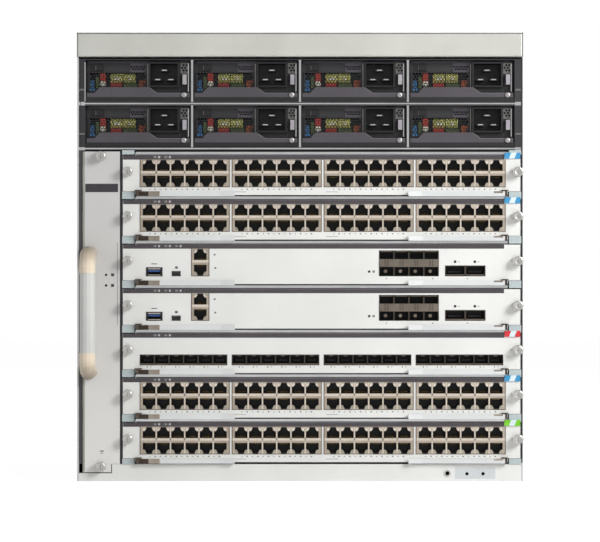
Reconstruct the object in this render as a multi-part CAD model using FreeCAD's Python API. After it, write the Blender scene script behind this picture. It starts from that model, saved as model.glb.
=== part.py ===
import FreeCAD, Part
import math
import os
from FreeCAD import Vector

os.makedirs("parts", exist_ok=True)

# Sheet metal of the chassis
side_sheet = 1.6
base_sheet = 2.0
cover_sheet = 1.6
rear_sheet = 1.6
rear_space = 59.1

# Front zones, from the bottom up
base_strip_height = 16.7
fan_strip_height = 8.5
strip_to_slots = 1.7
slot_count = 7
slot_pitch = 43.9
slots_to_deck = 0.5
deck_sheet = 3.0
shelf_sheet = 3.4
bezel_gap = 3.0
bezel_height = 24.0
bezel_reach = 4.0
bezel_depth = 20.0
bezel_wall = 2.5
bezel_edge_radius = 2.0

# Power supplies and their bays
bay_columns = 4
bay_rows = 2
psu_width = 103.0
psu_height = 40.5
psu_length = 320.0
psu_setback = 10.0
bay_play_side = 0.5
bay_play_height = 0.4
divider_sheet = 2.4
power_post = 6.5
cage_top_sheet = 1.2

# Front of a power supply, measured from its left side and from its bottom
grille_left = 1.6
grille_right = 59.4
grille_margin = 2.0
grille_bottom = 13.6
grille_depth = 30.0
side_grille_left = 92.9
side_grille_bottom = 28.0
side_grille_depth = 8.0
switch_shelf_width = 43.0
switch_shelf_height = 8.8
switch_left = 10.0
switch_size = (6.2, 5.4)
switch_reach = 2.6
switch_top_gap = 2.0
inlet_left = 61.9
inlet_width = 30.0
inlet_height = 24.8
inlet_bottom = 14.4
inlet_reach = 6.0
inlet_depth = 22.0
inlet_wall = 1.6
pin_width = 8.0
pin_thickness = 2.0
pin_length = 15.0
pin_pitch = 13.0
earth_rise = 9.2
live_height = 7.6
lip_height = 4.4
fascia_sheet = 2.0
fascia_height = 8.5
fascia_hump_height = 14.2
fascia_hump = (8.4, 13.8, 62.2, 69.8)
fascia_margin = 0.8
knob_left = 96.6
knob_radius = 2.5
knob_sides = 10
knob_reach = 1.4
latch_left = 95.2
latch_size = (4.0, 1.6, 9.8)
latch_height = 17.0
latch_stem_width = 2.4
latch_reach = 6.0
latch_play = 0.3
latch_travel = 2.5

# Backplane
backplane_sheet = 3.0
connector_play = 0.3
connector_length = 20.0
psu_connector_size = (64.0, 12.0)
psu_connector_rise = 8.0

# Fan bay and card bay across the width
fan_side_gap = 3.8
fan_tray_width = 36.7
fan_wall_play = 0.7
fan_wall_sheet = 1.6
fan_wall_setback = 8.0
card_play_left = 0.6
card_play_right = 0.8

# Guide rails
rail_width = 12.1
rail_height = 7.3
rail_nose = 1.0
rail_play = 0.3

# Cards
faceplate_sheet = 1.6
face_bottom_gap = 0.3
face_top_gap = 4.7
gasket_top_gap = 1.6
gasket_depth = 8.0
tray_sheet = 1.2
tray_side_height = 11.0
tray_side_play = 1.0
standoff_height = 1.4
standoff_width = 6.0
board_sheet = 1.55
board_margin = 14.0
board_front_gap = 0.3
window_play = 0.15
heat_sink_size = (70.0, 60.0)
heat_sink_base = 3.0
heat_sink_height = 18.0
heat_sink_fins = 5
heat_sink_fin = 1.6
rear_connector_margin = 45.0
rear_connector_height = 14.0

# Copper port banks
bank_count = 4
bank_columns = 6
bank_inset = 16.8
bank_pitch = 90.7
bank_gap = 2.2
bank_depth = 22.0
jack_bank_height = 27.2
jack_edge = 3.175
jack_wall = 2.15
jack_height = 6.2
jack_tab_height = 3.4
jack_bar = 5.2
jack_depth = 13.0
jack_proud = 0.3

# Fibre cages
cage_gap = 4.6
cage_wall = 1.05
cage_mouth_height = 9.0
cage_bank_height = 10.4
cage_depth = 18.0
cage_frame_sheet = 1.2

# Supervisor connectors, places measured from the left end of the faceplate
usb_left = 23.0
usb_block = (16.0, 8.6)
usb_opening = (12.6, 5.0)
usb_depth = 14.0
service_left = 48.3
service_block = (8.7, 4.9)
service_opening = (6.9, 3.1)
service_depth = 8.0
twin_left = 67.5
twin_width = 17.7
stack_left = 252.7
stack_columns = 4
stack_height = 25.2
stack_pitch = 14.7
stack_wall = 1.4
stack_edge_trim = 0.4
quad_left = 317.8
quad_columns = 2
quad_pitch = 19.85
quad_wall = 1.65
quad_mouth_height = 8.9

# Ejector levers
lever_length = 95.0
lever_root_radius = 2.5
lever_height = 4.8
lever_drop = 0.9
lever_face_play = 0.5
lever_inset = 15.5
lever_tip_length = 14.0
lever_tip_depth = 4.4
lever_tip_lift = 1.2
lever_waist_depth = 3.2
lever_pin_radius = 1.2
lever_pin_play = 0.05
lever_pin_sides = 8
lever_root_steps = 5
lever_lug_sheet = 1.0
lever_lug_margin = 0.8
lever_lug_play = 0.3

# Captive thumbscrews
screw_radius = 4.7
screw_collar_radius = 3.4
screw_collar_length = 2.5
screw_length = 9.0
screw_sides = 12
screw_collar_sides = 6
screw_inset_left = 4.9
screw_inset_right = 3.5
card_screw_height = 23.2

# Fan tray
fan_panel_sheet = 2.0
fan_panel_bottom_play = 0.2
fan_panel_top_play = 1.2
fan_panel_step = 28.3
fan_tray_length = 328.0
fan_tray_sheet = 1.2
fan_tray_floor = 10.0
fan_runner_play = 0.3
fan_rows = 3
fan_columns = 2
fan_row_pitch = 101.0
fan_column_pitch = 140.0
fan_first_depth = 86.0
fan_hole_radius = 48.0
fan_hole_sides = 18
fan_blade_radius = 43.5
fan_blade_root = 1.0
fan_blade_count = 7
fan_blade_chord = 30.0
fan_blade_sheet = 1.2
fan_blade_pitch = 38.0
fan_hub_radius = 19.0
fan_hub_sides = 10
fan_hub_length = 22.0
fan_hub_play = 0.8
fan_boss_radius = 14.0
fan_boss_length = 4.0
fan_boss_sides = 12
fan_arm_width = 5.0
fan_arm_count = 3
fan_arm_overlap = 1.0
fan_shaft_radius = 2.0
fan_shaft_play = 0.05
fan_shaft_sides = 6
fan_runner_front_gap = 1.0

# Fan tray handle
handle_reach = 36.0
handle_inset = 6.4
grip_radius = 7.5
grip_length = 78.0
grip_bottom = 127.0
elbow_radius = 7.9
elbow_bend = 13.0
elbow_bend_steps = 4
elbow_neck = 5.6
handle_sides = 14
fan_screw_inset = 18.0
fan_screw_margin = 6.0
fan_screw_radius = 4.8

# Air windows in the side panels and the fan wall
vent_columns = 4
vent_pitch = 74.0
vent_first_depth = 52.0
vent_size = (44.0, 32.0)

# Front strip fittings
jack_socket_place = 145.4
jack_socket_height = 7.7
jack_socket_radius = 3.4
jack_socket_sides = 12
jack_bore_radius = 2.0
jack_socket_length = 12.0
jack_socket_proud = 0.8
ground_place = 172.6
ground_spacing = 15.875
ground_height = 7.2
ground_hole_radius = 1.7
ground_pad_size = (40.0, 12.0)
ground_pad_depth = 5.0

# Port widths worked out from the banks
jack_bank_width = bank_pitch - bank_gap
jack_pitch = (jack_bank_width - 2 * jack_edge + jack_wall) / bank_columns
jack_width = jack_pitch - jack_wall
cage_pitch = (bank_pitch - cage_gap) / bank_columns
cage_opening = (cage_pitch - cage_wall, cage_mouth_height)
stack_opening = (stack_pitch - stack_wall, cage_mouth_height)
quad_opening = (quad_pitch - quad_wall, quad_mouth_height)

# Heights worked out from the zones
slots_bottom = base_strip_height + strip_to_slots
slots_top = slots_bottom + slot_count * slot_pitch
deck_bottom = slots_top + slots_to_deck
bays_bottom = deck_bottom + deck_sheet
bay_height = psu_height + 2 * bay_play_height
bay_row_pitch = bay_height + shelf_sheet
bays_top = bays_bottom + bay_rows * bay_height + (bay_rows - 1) * shelf_sheet
bezel_bottom = bays_top + bezel_gap
chassis_height = bezel_bottom + bezel_height

# Widths worked out from the bays
bay_width = psu_width + 2 * bay_play_side
bay_column_pitch = bay_width + divider_sheet
bays_width = bay_columns * bay_width + (bay_columns - 1) * divider_sheet
inner_half = bays_width / 2 + power_post
chassis_half = inner_half + side_sheet
fan_left = -inner_half + fan_side_gap
fan_right = fan_left + fan_tray_width
wall_left = fan_right + fan_wall_play
wall_right = wall_left + fan_wall_sheet
card_left = wall_right + card_play_left
card_right = inner_half - card_play_right

# Depths worked out from the front plane, which the card faces lie in
psu_back = psu_setback + psu_length
backplane_depth = psu_back + connector_length + connector_play
chassis_depth = backplane_depth + backplane_sheet + rear_space + rear_sheet
front = -(chassis_depth - handle_reach) / 2
card_seat = rail_height / 2 + rail_play
board_bottom = card_seat + tray_sheet + standoff_height
board_top = board_bottom + board_sheet
card_depth = backplane_depth - connector_play


def at(low, high):
    """Depth range behind the front plane, as a range of Y."""
    return (front + low, front + high)


def block(x, y, z):
    """Box between two values on each axis."""
    size = (x[1] - x[0], y[1] - y[0], z[1] - z[0])
    return Part.makeBox(*size, Vector(x[0], y[0], z[0]))


def profile(points, axis, span):
    """Flat outline pushed along one axis between two values."""
    place = {
        "x": lambda a, b: Vector(span[0], a, b),
        "y": lambda a, b: Vector(a, span[0], b),
        "z": lambda a, b: Vector(a, b, span[0]),
    }[axis]
    push = {"x": Vector(1, 0, 0), "y": Vector(0, 1, 0), "z": Vector(0, 0, 1)}[axis]
    corners = [place(a, b) for a, b in points]
    wire = Part.makePolygon(corners + corners[:1])
    return Part.Face(wire).extrude(push * (span[1] - span[0]))


def rod(radius, start, direction, length):
    """Round bar from a point along a direction."""
    return Part.makeCylinder(radius, length, Vector(*start), Vector(*direction))


def ring(radius, sides, centre, direction):
    """Closed many-sided outline round a centre, in the plane that faces a direction."""
    normal = Vector(*direction)
    across = Vector(0, 0, 1) if abs(normal.z) < abs(normal.x) + abs(normal.y) else Vector(1, 0, 0)
    up = normal.cross(across)
    corners = []
    for corner in range(sides):
        turn = math.radians(360 * (corner + 0.5) / sides)
        corners.append(Vector(*centre) + (across * math.cos(turn) + up * math.sin(turn)) * radius)
    return Part.makePolygon(corners + corners[:1])


def bar(radius, sides, start, direction, length):
    """Many-sided bar with its corners on a radius."""
    return Part.Face(ring(radius, sides, start, direction)).extrude(Vector(*direction) * length)


def around(radius, sides):
    """Corner radius of a many-sided hole whose flats lie on a radius."""
    return radius / math.cos(math.pi / sides)


def export(name, *solids):
    """Write the solids of one sub-part to its own file."""
    shape = solids[0] if len(solids) == 1 else Part.makeCompound(list(solids))
    shape.exportStep("parts/" + name + ".step")


def slot_bottom(slot):
    """Lower boundary of a card slot, slot 1 being the top one."""
    return slots_bottom + (slot_count - slot) * slot_pitch


def vent_windows(x):
    """Rows of windows, one row to each card slot."""
    windows = []
    for slot in range(1, slot_count + 1):
        middle = slot_bottom(slot) + slot_pitch / 2
        z = (middle - vent_size[1] / 2, middle + vent_size[1] / 2)
        for column in range(vent_columns):
            start = vent_first_depth + column * vent_pitch
            windows.append(block(x, at(start, start + vent_size[0]), z))
    return windows


def base_pan():
    """Floor of the chassis, the low strip across its front, and the fan tray's runner."""
    floor = block((-inner_half, inner_half), at(base_sheet, chassis_depth), (0, base_sheet))
    step = fan_left + fan_panel_step
    outline = [
        (-inner_half, 0),
        (inner_half, 0),
        (inner_half, base_strip_height),
        (step, base_strip_height),
        (step, fan_strip_height),
        (-inner_half, fan_strip_height),
    ]
    strip = profile(outline, "y", at(0, base_sheet))
    pad_half = ground_pad_size[0] / 2
    pad_x = (ground_place - pad_half, ground_place + pad_half)
    pad_z = (base_sheet, base_sheet + ground_pad_size[1])
    pad = block(pad_x, at(base_sheet, ground_pad_depth), pad_z)
    jack_start = (jack_socket_place, front - jack_socket_proud, jack_socket_height)
    seat = bar(jack_socket_radius, jack_socket_sides, jack_start, (0, 1, 0), jack_socket_length)
    holes = []
    for side in (-1, 1):
        place = (ground_place + side * ground_spacing / 2, front, ground_height)
        holes.append(rod(ground_hole_radius, place, (0, 1, 0), ground_pad_depth))
    bore = rod(jack_bore_radius, jack_start, (0, 1, 0), jack_socket_length)
    runner_x = (fan_left + fan_tray_sheet, fan_left + fan_panel_step - fan_tray_sheet)
    runner_z = (base_sheet, fan_tray_floor - fan_runner_play)
    runner = block(runner_x, at(fan_panel_sheet + fan_runner_front_gap, backplane_depth), runner_z)
    return floor, strip.fuse(pad).cut(holes + [seat]), seat.cut(bore), runner


def side_panel(side):
    """Side sheet with air windows and a step for the bezel."""
    x = (inner_half, chassis_half) if side > 0 else (-chassis_half, -inner_half)
    top = chassis_height - cover_sheet
    outline = [
        (front, 0),
        (front + chassis_depth, 0),
        (front + chassis_depth, top),
        (front + bezel_depth, top),
        (front + bezel_depth, bezel_bottom),
        (front, bezel_bottom),
    ]
    return profile(outline, "x", x).cut(vent_windows(x))


def top_cover():
    """Lid behind the bezel."""
    z = (chassis_height - cover_sheet, chassis_height)
    return block((-chassis_half, chassis_half), at(bezel_depth, chassis_depth), z)


def rear_panel():
    """Flat sheet that closes the back between the side panels."""
    z = (base_sheet, chassis_height - cover_sheet)
    y = at(chassis_depth - rear_sheet, chassis_depth)
    return block((-inner_half, inner_half), y, z)


def top_bezel():
    """Moulded cap over the top of the front, open at the back."""
    x = (-chassis_half, chassis_half)
    z = (bezel_bottom, chassis_height)
    cap = block(x, at(-bezel_reach, bezel_depth), z)
    edges = [edge for edge in cap.Edges if edge.BoundBox.YMax < front - bezel_reach / 2]
    cap = cap.makeFillet(bezel_edge_radius, edges)
    hollow_x = (x[0] + bezel_wall, x[1] - bezel_wall)
    hollow_z = (z[0] + bezel_wall, z[1] - bezel_wall)
    hollow = block(hollow_x, at(bezel_wall - bezel_reach, bezel_depth), hollow_z)
    return cap.cut(hollow)


def bay_left(column):
    """Left side of a power supply bay."""
    return -bays_width / 2 + column * bay_column_pitch


def bay_floor(row):
    """Floor of a power supply bay, row 0 being the top one."""
    return bays_bottom + (bay_rows - 1 - row) * bay_row_pitch


def power_cage():
    """Deck, shelf, top sheet, dividers and side posts around the bays."""
    across = (-inner_half, inner_half)
    depth = at(0, backplane_depth)
    plates = [
        block(across, depth, (deck_bottom, bays_bottom)),
        block(across, depth, (bays_top, bays_top + cage_top_sheet)),
    ]
    for row in range(bay_rows - 1):
        floor = bay_floor(row)
        plates.append(block(across, depth, (floor - shelf_sheet, floor)))
    for row in range(bay_rows):
        z = (bay_floor(row), bay_floor(row) + bay_height)
        plates.append(block((-inner_half, -bays_width / 2), depth, z))
        plates.append(block((bays_width / 2, inner_half), depth, z))
        for column in range(1, bay_columns):
            right = bay_left(column)
            plates.append(block((right - divider_sheet, right), depth, z))
    return plates


def card_cage():
    """Wall beside the fan bay and the guide rails on both sides of the cards."""
    wall_y = at(fan_wall_setback, backplane_depth)
    wall = block((wall_left, wall_right), wall_y, (base_sheet, deck_bottom))
    solids = [wall.cut(vent_windows((wall_left, wall_right)))]
    for boundary in range(slot_count + 1):
        middle = slots_bottom + boundary * slot_pitch
        low = max(middle - rail_height / 2, base_strip_height)
        high = min(middle + rail_height / 2, deck_bottom)
        for x in ((wall_right, wall_right + rail_width), (inner_half - rail_width, inner_half)):
            solids.append(block(x, at(-rail_nose, backplane_depth), (low, high)))
    return solids


def backplane():
    """Boards across the back of the cards and of the power supplies."""
    y = at(backplane_depth, backplane_depth + backplane_sheet)
    lower = block((wall_left, inner_half), y, (base_sheet, deck_bottom))
    upper = block((-inner_half, inner_half), y, (deck_bottom, bays_top + cage_top_sheet))
    return lower, upper


def jack_bank(left, bottom, width, columns):
    """Two rows of copper sockets in one housing, tabs away from the middle bar."""
    bank = block((left, left + width), at(-jack_proud, bank_depth), (bottom, bottom + jack_bank_height))
    middle = bottom + jack_bank_height / 2
    first = left + (width - (columns - 1) * jack_pitch) / 2
    reach = jack_bar / 2 + jack_height + jack_tab_height
    cuts = []
    for column in range(columns):
        x = (first + column * jack_pitch - jack_width / 2, first + column * jack_pitch + jack_width / 2)
        for z in ((middle - reach, middle - jack_bar / 2), (middle + jack_bar / 2, middle + reach)):
            cuts.append(block(x, at(-jack_proud, jack_depth), z))
    return bank.cut(cuts)


def cage_row(left, bottom, height, columns, pitch, opening, centres):
    """Row or stack of sheet metal cages: back, level sheets, walls, and a frame behind the face."""
    right = left + columns * pitch
    top = bottom + height
    depth = at(-jack_proud, cage_depth)
    back = block((left, right), at(cage_depth, bank_depth + cage_depth), (bottom, top))
    solids = [back]
    levels = [bottom]
    for centre in centres:
        levels.extend([centre - opening[1] / 2, centre + opening[1] / 2])
    levels.append(top)
    for z in zip(levels[::2], levels[1::2]):
        solids.append(block((left, right), depth, z))
    half_wall = (pitch - opening[0]) / 2
    for z in zip(levels[1::2], levels[2::2]):
        for edge in range(columns + 1):
            line = left + edge * pitch
            x = (max(left, line - half_wall), min(right, line + half_wall))
            solids.append(block(x, depth, z))
    frame_y = at(faceplate_sheet + board_front_gap, cage_depth)
    frame_left = left - cage_frame_sheet
    frame_right = right + cage_frame_sheet
    solids.append(block((frame_left, frame_right), frame_y, (top, top + cage_frame_sheet)))
    solids.append(block((frame_left, left), frame_y, (bottom, top)))
    solids.append(block((right, frame_right), frame_y, (bottom, top)))
    return solids


def small_socket(left, bottom, size, opening, depth):
    """Housing with one rectangular mouth."""
    shell = block((left, left + size[0]), at(-jack_proud, bank_depth), (bottom, bottom + size[1]))
    x = (left + (size[0] - opening[0]) / 2, left + (size[0] + opening[0]) / 2)
    z = (bottom + (size[1] - opening[1]) / 2, bottom + (size[1] + opening[1]) / 2)
    return shell.cut(block(x, at(-jack_proud, depth), z))


def copper_connectors(bottom):
    """Port banks of a copper line card."""
    banks = []
    for bank in range(bank_count):
        left = card_left + bank_inset + bank * bank_pitch
        banks.append([jack_bank(left, bottom, jack_bank_width, bank_columns)])
    return banks


def fibre_connectors(bottom):
    """Cage banks of the fibre line card."""
    banks = []
    middle = bottom + cage_bank_height / 2
    for bank in range(bank_count):
        left = card_left + bank_inset + bank * bank_pitch
        row = cage_row(left, bottom, cage_bank_height, bank_columns, cage_pitch, cage_opening, [middle])
        banks.append(row)
    return banks


def supervisor_connectors(bottom):
    """Service ports and uplink cages of a supervisor."""
    low = bottom + cage_bank_height / 2 - stack_edge_trim
    high = bottom + stack_height - (low - bottom)
    return [
        [small_socket(card_left + usb_left, bottom, usb_block, usb_opening, usb_depth)],
        [small_socket(card_left + service_left, bottom, service_block, service_opening, service_depth)],
        [jack_bank(card_left + twin_left, bottom, twin_width, 1)],
        cage_row(
            card_left + stack_left, bottom, stack_height, stack_columns, stack_pitch,
            stack_opening, [low, high],
        ),
        cage_row(
            card_left + quad_left, bottom, cage_bank_height, quad_columns, quad_pitch,
            quad_opening, [bottom + cage_bank_height / 2],
        ),
    ]


def thumbscrew(x, z, radius):
    """Collar on the front plane, and the captive screw head on it."""
    collar = bar(screw_collar_radius, screw_collar_sides, (x, front, z), (0, -1, 0), screw_collar_length)
    head_start = (x, front - screw_collar_length, z)
    head = bar(radius, screw_sides, head_start, (0, -1, 0), screw_length - screw_collar_length)
    return collar, head


def lever_pivot(slot, side):
    """Centre of a lever's upright pin; side is -1 at the left, 1 at the right."""
    x = card_left + lever_inset if side < 0 else card_right - lever_inset
    y = front - lever_face_play - lever_root_radius
    return x, y, slot_bottom(slot) - lever_drop


def lever_hanger(slot, side):
    """Lug and pin that carry a lever on the faceplate."""
    x, y, z = lever_pivot(slot, side)
    top = z + lever_height + lever_lug_play
    half = lever_root_radius + lever_lug_margin
    lug_y = (y - half, front)
    lug = block((x - half, x + half), lug_y, (top, top + lever_lug_sheet))
    pin = bar(lever_pin_radius, lever_pin_sides, (x, y, z), (0, 0, 1), top - z)
    return lug, pin


def lever(slot, side):
    """Ejector lever lying along the foot of the faceplate, with a round root."""
    x, y, z = lever_pivot(slot, side)
    back = lever_root_radius
    bend = lever_length - lever_tip_length
    outline = [
        (bend, back),
        (lever_length, back - lever_tip_lift),
        (lever_length, back - lever_tip_depth - lever_tip_lift),
        (bend, back - lever_waist_depth),
    ]
    for step in range(lever_root_steps + 1):
        turn = math.pi * step / lever_root_steps
        outline.append((-back * math.sin(turn), -back * math.cos(turn)))
    points = [(x - side * along, y + across) for along, across in outline]
    arm = profile(points, "z", (z, z + lever_height))
    hole_radius = around(lever_pin_radius + lever_pin_play, lever_pin_sides)
    return arm.cut(bar(hole_radius, lever_pin_sides, (x, y, z), (0, 0, 1), lever_height))


def faceplate(slot, connectors):
    """Card face with notched lower corners and a window for the first solid of each port group.

    The sheet is divided at the edges of its windows, so that every strip is convex.
    """
    low = slot_bottom(slot)
    high = low + slot_pitch - face_top_gap
    seat = low + card_seat
    sill = low + board_top - window_play
    inset = rail_width + rail_play
    left = card_left
    right = card_right
    depth = at(0, faceplate_sheet)
    outline = [
        (left, seat),
        (left + inset, seat),
        (left + inset, low + face_bottom_gap),
        (right - inset, low + face_bottom_gap),
        (right - inset, seat),
        (right, seat),
        (right, high),
        (left, high),
    ]
    windows = []
    edges = [left]
    for group in connectors:
        box = group[0].BoundBox
        x = (box.XMin - window_play, box.XMax + window_play)
        windows.append(block(x, depth, (sill, box.ZMax + window_play)))
        edges.extend(x)
    edges.append(right)
    sheet = profile(outline, "y", depth).cut(windows)
    cells = [block((left, right), depth, (low, seat)), block((left, right), depth, (seat, sill))]
    cells.extend(block(x, depth, (sill, high)) for x in zip(edges, edges[1:]))
    return [sheet.common(cell).Solids[0] for cell in cells]


def gasket_ledge(slot):
    """Spring strip along the top edge of a card, behind its face."""
    high = slot_bottom(slot) + slot_pitch
    inset = rail_width + rail_play
    x = (card_left + inset, card_right - inset)
    z = (high - face_top_gap - tray_sheet, high - gasket_top_gap)
    return block(x, at(faceplate_sheet, gasket_depth), z)


def card_tray(slot):
    """Floor, side walls and board ribs of the tray that slides on the guide rails."""
    floor = slot_bottom(slot) + card_seat
    left = card_left + tray_side_play
    right = card_right - tray_side_play
    depth = at(faceplate_sheet, card_depth - connector_length)
    inner = (left + tray_sheet, right - tray_sheet)
    solids = [
        block(inner, depth, (floor, floor + tray_sheet)),
        block((left, inner[0]), depth, (floor, floor + tray_side_height)),
        block((inner[1], right), depth, (floor, floor + tray_side_height)),
    ]
    rib_z = (floor + tray_sheet, floor + tray_sheet + standoff_height)
    for x in (left + 2 * board_margin, right - 2 * board_margin):
        rib_x = (x - standoff_width / 2, x + standoff_width / 2)
        solids.append(block(rib_x, depth, rib_z))
    return solids


def card_board(slot):
    """Circuit board, heat sink and rear connector of a card."""
    low = slot_bottom(slot)
    x = (card_left + board_margin, card_right - board_margin)
    board_y = at(faceplate_sheet + board_front_gap, card_depth - connector_length)
    board = block(x, board_y, (low + board_bottom, low + board_top))
    middle = (card_left + card_right) / 2
    sink_left = middle - heat_sink_size[0] / 2
    sink = block(
        (sink_left, sink_left + heat_sink_size[0]),
        at(card_depth / 2, card_depth / 2 + heat_sink_size[1]),
        (low + board_top, low + board_top + heat_sink_height),
    )
    pitch = (heat_sink_size[0] - heat_sink_fin) / (heat_sink_fins - 1)
    gaps = []
    for fin in range(heat_sink_fins - 1):
        start = sink_left + fin * pitch + heat_sink_fin
        gap_x = (start, start + pitch - heat_sink_fin)
        gap_z = (low + board_top + heat_sink_base, low + board_top + heat_sink_height)
        gaps.append(block(gap_x, at(card_depth / 2, card_depth / 2 + heat_sink_size[1]), gap_z))
    rear_x = (card_left + rear_connector_margin, card_right - rear_connector_margin)
    rear_z = (low + board_bottom, low + board_bottom + rear_connector_height)
    rear = block(rear_x, at(card_depth - connector_length, card_depth), rear_z)
    return board, sink.cut(gaps), rear


def build_card(name, slot, connectors_at):
    """Write the four files of one card."""
    connectors = connectors_at(slot_bottom(slot) + board_top)
    carrier = [*faceplate(slot, connectors), gasket_ledge(slot), *card_tray(slot)]
    height = slot_bottom(slot) + card_screw_height
    for x in (card_left + screw_inset_left, card_right - screw_inset_right):
        carrier.extend(thumbscrew(x, height, screw_radius))
    for side in (-1, 1):
        carrier.extend(lever_hanger(slot, side))
    export(name, *carrier)
    housings = [solid for group in connectors for solid in group]
    export(name + "_board", *housings, *card_board(slot))
    export(name + "_lever_left", lever(slot, -1))
    export(name + "_lever_right", lever(slot, 1))


def power_supply(left, bottom):
    """Case with its grille pocket, fascia, inlet, pins, switch and knob."""
    top = bottom + psu_height
    right = left + psu_width
    case = block((left, right), at(psu_setback, psu_back), (bottom, top))
    pocket_z = (bottom + grille_bottom, top - grille_margin)
    pocket_y = at(psu_setback, psu_setback + grille_depth)
    pocket = block((left + grille_left, left + grille_right), pocket_y, pocket_z)
    shelf_x = (left + grille_left, left + switch_shelf_width)
    shelf_z = (top - grille_margin - switch_shelf_height, top - grille_margin)
    pocket = pocket.cut(block(shelf_x, pocket_y, shelf_z))
    inlet_x = (left + inlet_left, left + inlet_left + inlet_width)
    inlet_z = (bottom + inlet_bottom, bottom + inlet_bottom + inlet_height)
    inlet_y = at(psu_setback - inlet_reach, psu_setback - inlet_reach + inlet_depth)
    inlet = block(inlet_x, inlet_y, inlet_z)
    mouth_x = (inlet_x[0] + inlet_wall, inlet_x[1] - inlet_wall)
    mouth_z = (inlet_z[0] + inlet_wall, inlet_z[1] - inlet_wall)
    mouth_y = (inlet_y[0], inlet_y[1] - inlet_wall)
    side_x = (left + side_grille_left, right - grille_left)
    side_z = (bottom + side_grille_bottom, top - grille_margin)
    side_pocket = block(side_x, at(psu_setback, psu_setback + side_grille_depth), side_z)
    case = case.cut([pocket, side_pocket, inlet])
    inlet = inlet.cut(block(mouth_x, mouth_y, mouth_z))
    pins = []
    centre = (inlet_x[0] + inlet_x[1]) / 2
    live_z = inlet_z[0] + live_height
    spots = [
        (centre - pin_pitch / 2, live_z),
        (centre + pin_pitch / 2, live_z),
        (centre, live_z + earth_rise),
    ]
    for x, z in spots:
        pin_x = (x - pin_width / 2, x + pin_width / 2)
        pin_z = (z - pin_thickness / 2, z + pin_thickness / 2)
        pins.append(block(pin_x, (mouth_y[1] - pin_length, mouth_y[1]), pin_z))
    case = case.fuse(block((left, right), at(0, psu_setback), (bottom, bottom + lip_height)))
    foot = bottom + lip_height
    low = bottom + fascia_height
    hump = bottom + fascia_hump_height
    edges = (left + fascia_margin, right - fascia_margin)
    outline = [
        (edges[0], foot),
        (edges[1], foot),
        (edges[1], low),
        (left + fascia_hump[3], low),
        (left + fascia_hump[2], hump),
        (left + fascia_hump[1], hump),
        (left + fascia_hump[0], low),
        (edges[0], low),
    ]
    fascia = profile(outline, "y", at(0, fascia_sheet))
    switch_x = (left + switch_left, left + switch_left + switch_size[0])
    switch_top = top - grille_margin - switch_top_gap
    switch_z = (switch_top - switch_size[1], switch_top)
    switch = block(switch_x, at(psu_setback - switch_reach, psu_setback), switch_z)
    knob_place = (left + knob_left, front, (foot + low) / 2)
    knob = bar(knob_radius, knob_sides, knob_place, (0, -1, 0), knob_reach)
    middle = (left + right) / 2
    plug_x = (middle - psu_connector_size[0] / 2, middle + psu_connector_size[0] / 2)
    plug_z = (bottom + psu_connector_rise, bottom + psu_connector_rise + psu_connector_size[1])
    plug = block(plug_x, at(psu_back, psu_back + connector_length), plug_z)
    return [case.removeSplitter(), inlet, *pins, fascia, switch, knob, plug]


def psu_latch(left, bottom):
    """Press tab on a stem, in front of the case."""
    stem_x = (left + latch_left, left + latch_left + latch_stem_width)
    z = (bottom + latch_height, bottom + latch_height + latch_size[2])
    back = psu_setback - latch_play
    stem = block(stem_x, at(back - latch_reach, back), z)
    tab_x = (left + latch_left, left + latch_left + latch_size[0])
    tab = block(tab_x, at(back - latch_reach - latch_size[1], back - latch_reach), z)
    return stem.fuse(tab).removeSplitter()


def fan_centres():
    """Axes of the fans in the tray, as depth and height."""
    centres = []
    middle = (fan_tray_floor + slots_top) / 2
    for row in range(fan_rows):
        height = middle + (row - (fan_rows - 1) / 2) * fan_row_pitch
        for column in range(fan_columns):
            centres.append((fan_first_depth + column * fan_column_pitch, height))
    return centres


def fan_panel():
    """Front plate of the tray, stepped to clear the base strip."""
    step = fan_left + fan_panel_step
    low = fan_strip_height + fan_panel_bottom_play
    raised = base_strip_height + fan_panel_bottom_play
    top = deck_bottom - fan_panel_top_play
    outline = [
        (fan_left, low),
        (step - fan_panel_bottom_play, low),
        (step - fan_panel_bottom_play, raised),
        (fan_right, raised),
        (fan_right, top),
        (fan_left, top),
    ]
    return profile(outline, "y", at(0, fan_panel_sheet))


def fan_frame():
    """Tray behind the panel: fan plate with motor spiders, shafts, floor, lid and back."""
    top = deck_bottom - fan_panel_top_play
    depth = at(fan_panel_sheet, fan_tray_length)
    plate_right = fan_left + fan_tray_sheet
    across = (plate_right, fan_left + fan_panel_step - fan_panel_bottom_play)
    plate = block((fan_left, plate_right), depth, (fan_tray_floor, top))
    floor = block(across, depth, (fan_tray_floor, fan_tray_floor + fan_tray_sheet))
    lid = block(across, depth, (top - fan_tray_sheet, top))
    back_y = at(fan_tray_length - fan_tray_sheet, fan_tray_length)
    back = block(across, back_y, (fan_tray_floor + fan_tray_sheet, top - fan_tray_sheet))
    holes = []
    spiders = []
    shafts = []
    for depth_in, height in fan_centres():
        place = (fan_left, front + depth_in, height)
        holes.append(bar(fan_hole_radius, fan_hole_sides, place, (1, 0, 0), fan_tray_sheet))
        spiders.append(bar(fan_boss_radius, fan_boss_sides, place, (1, 0, 0), fan_boss_length))
        shaft_start = (fan_left + fan_boss_length, front + depth_in, height)
        shaft_length = fan_hub_play + fan_hub_length
        shafts.append(bar(fan_shaft_radius, fan_shaft_sides, shaft_start, (1, 0, 0), shaft_length))
        for arm in range(fan_arm_count):
            reach = fan_hole_radius + fan_arm_overlap
            y = (place[1] - fan_arm_width / 2, place[1] + fan_arm_width / 2)
            spoke = block((fan_left, plate_right), y, (height, height + reach))
            spoke.rotate(Vector(*place), Vector(1, 0, 0), 360 * arm / fan_arm_count)
            spiders.append(spoke)
    plate = plate.cut(holes).fuse(spiders).removeSplitter()
    return [plate, floor, lid, back, *shafts]


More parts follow.
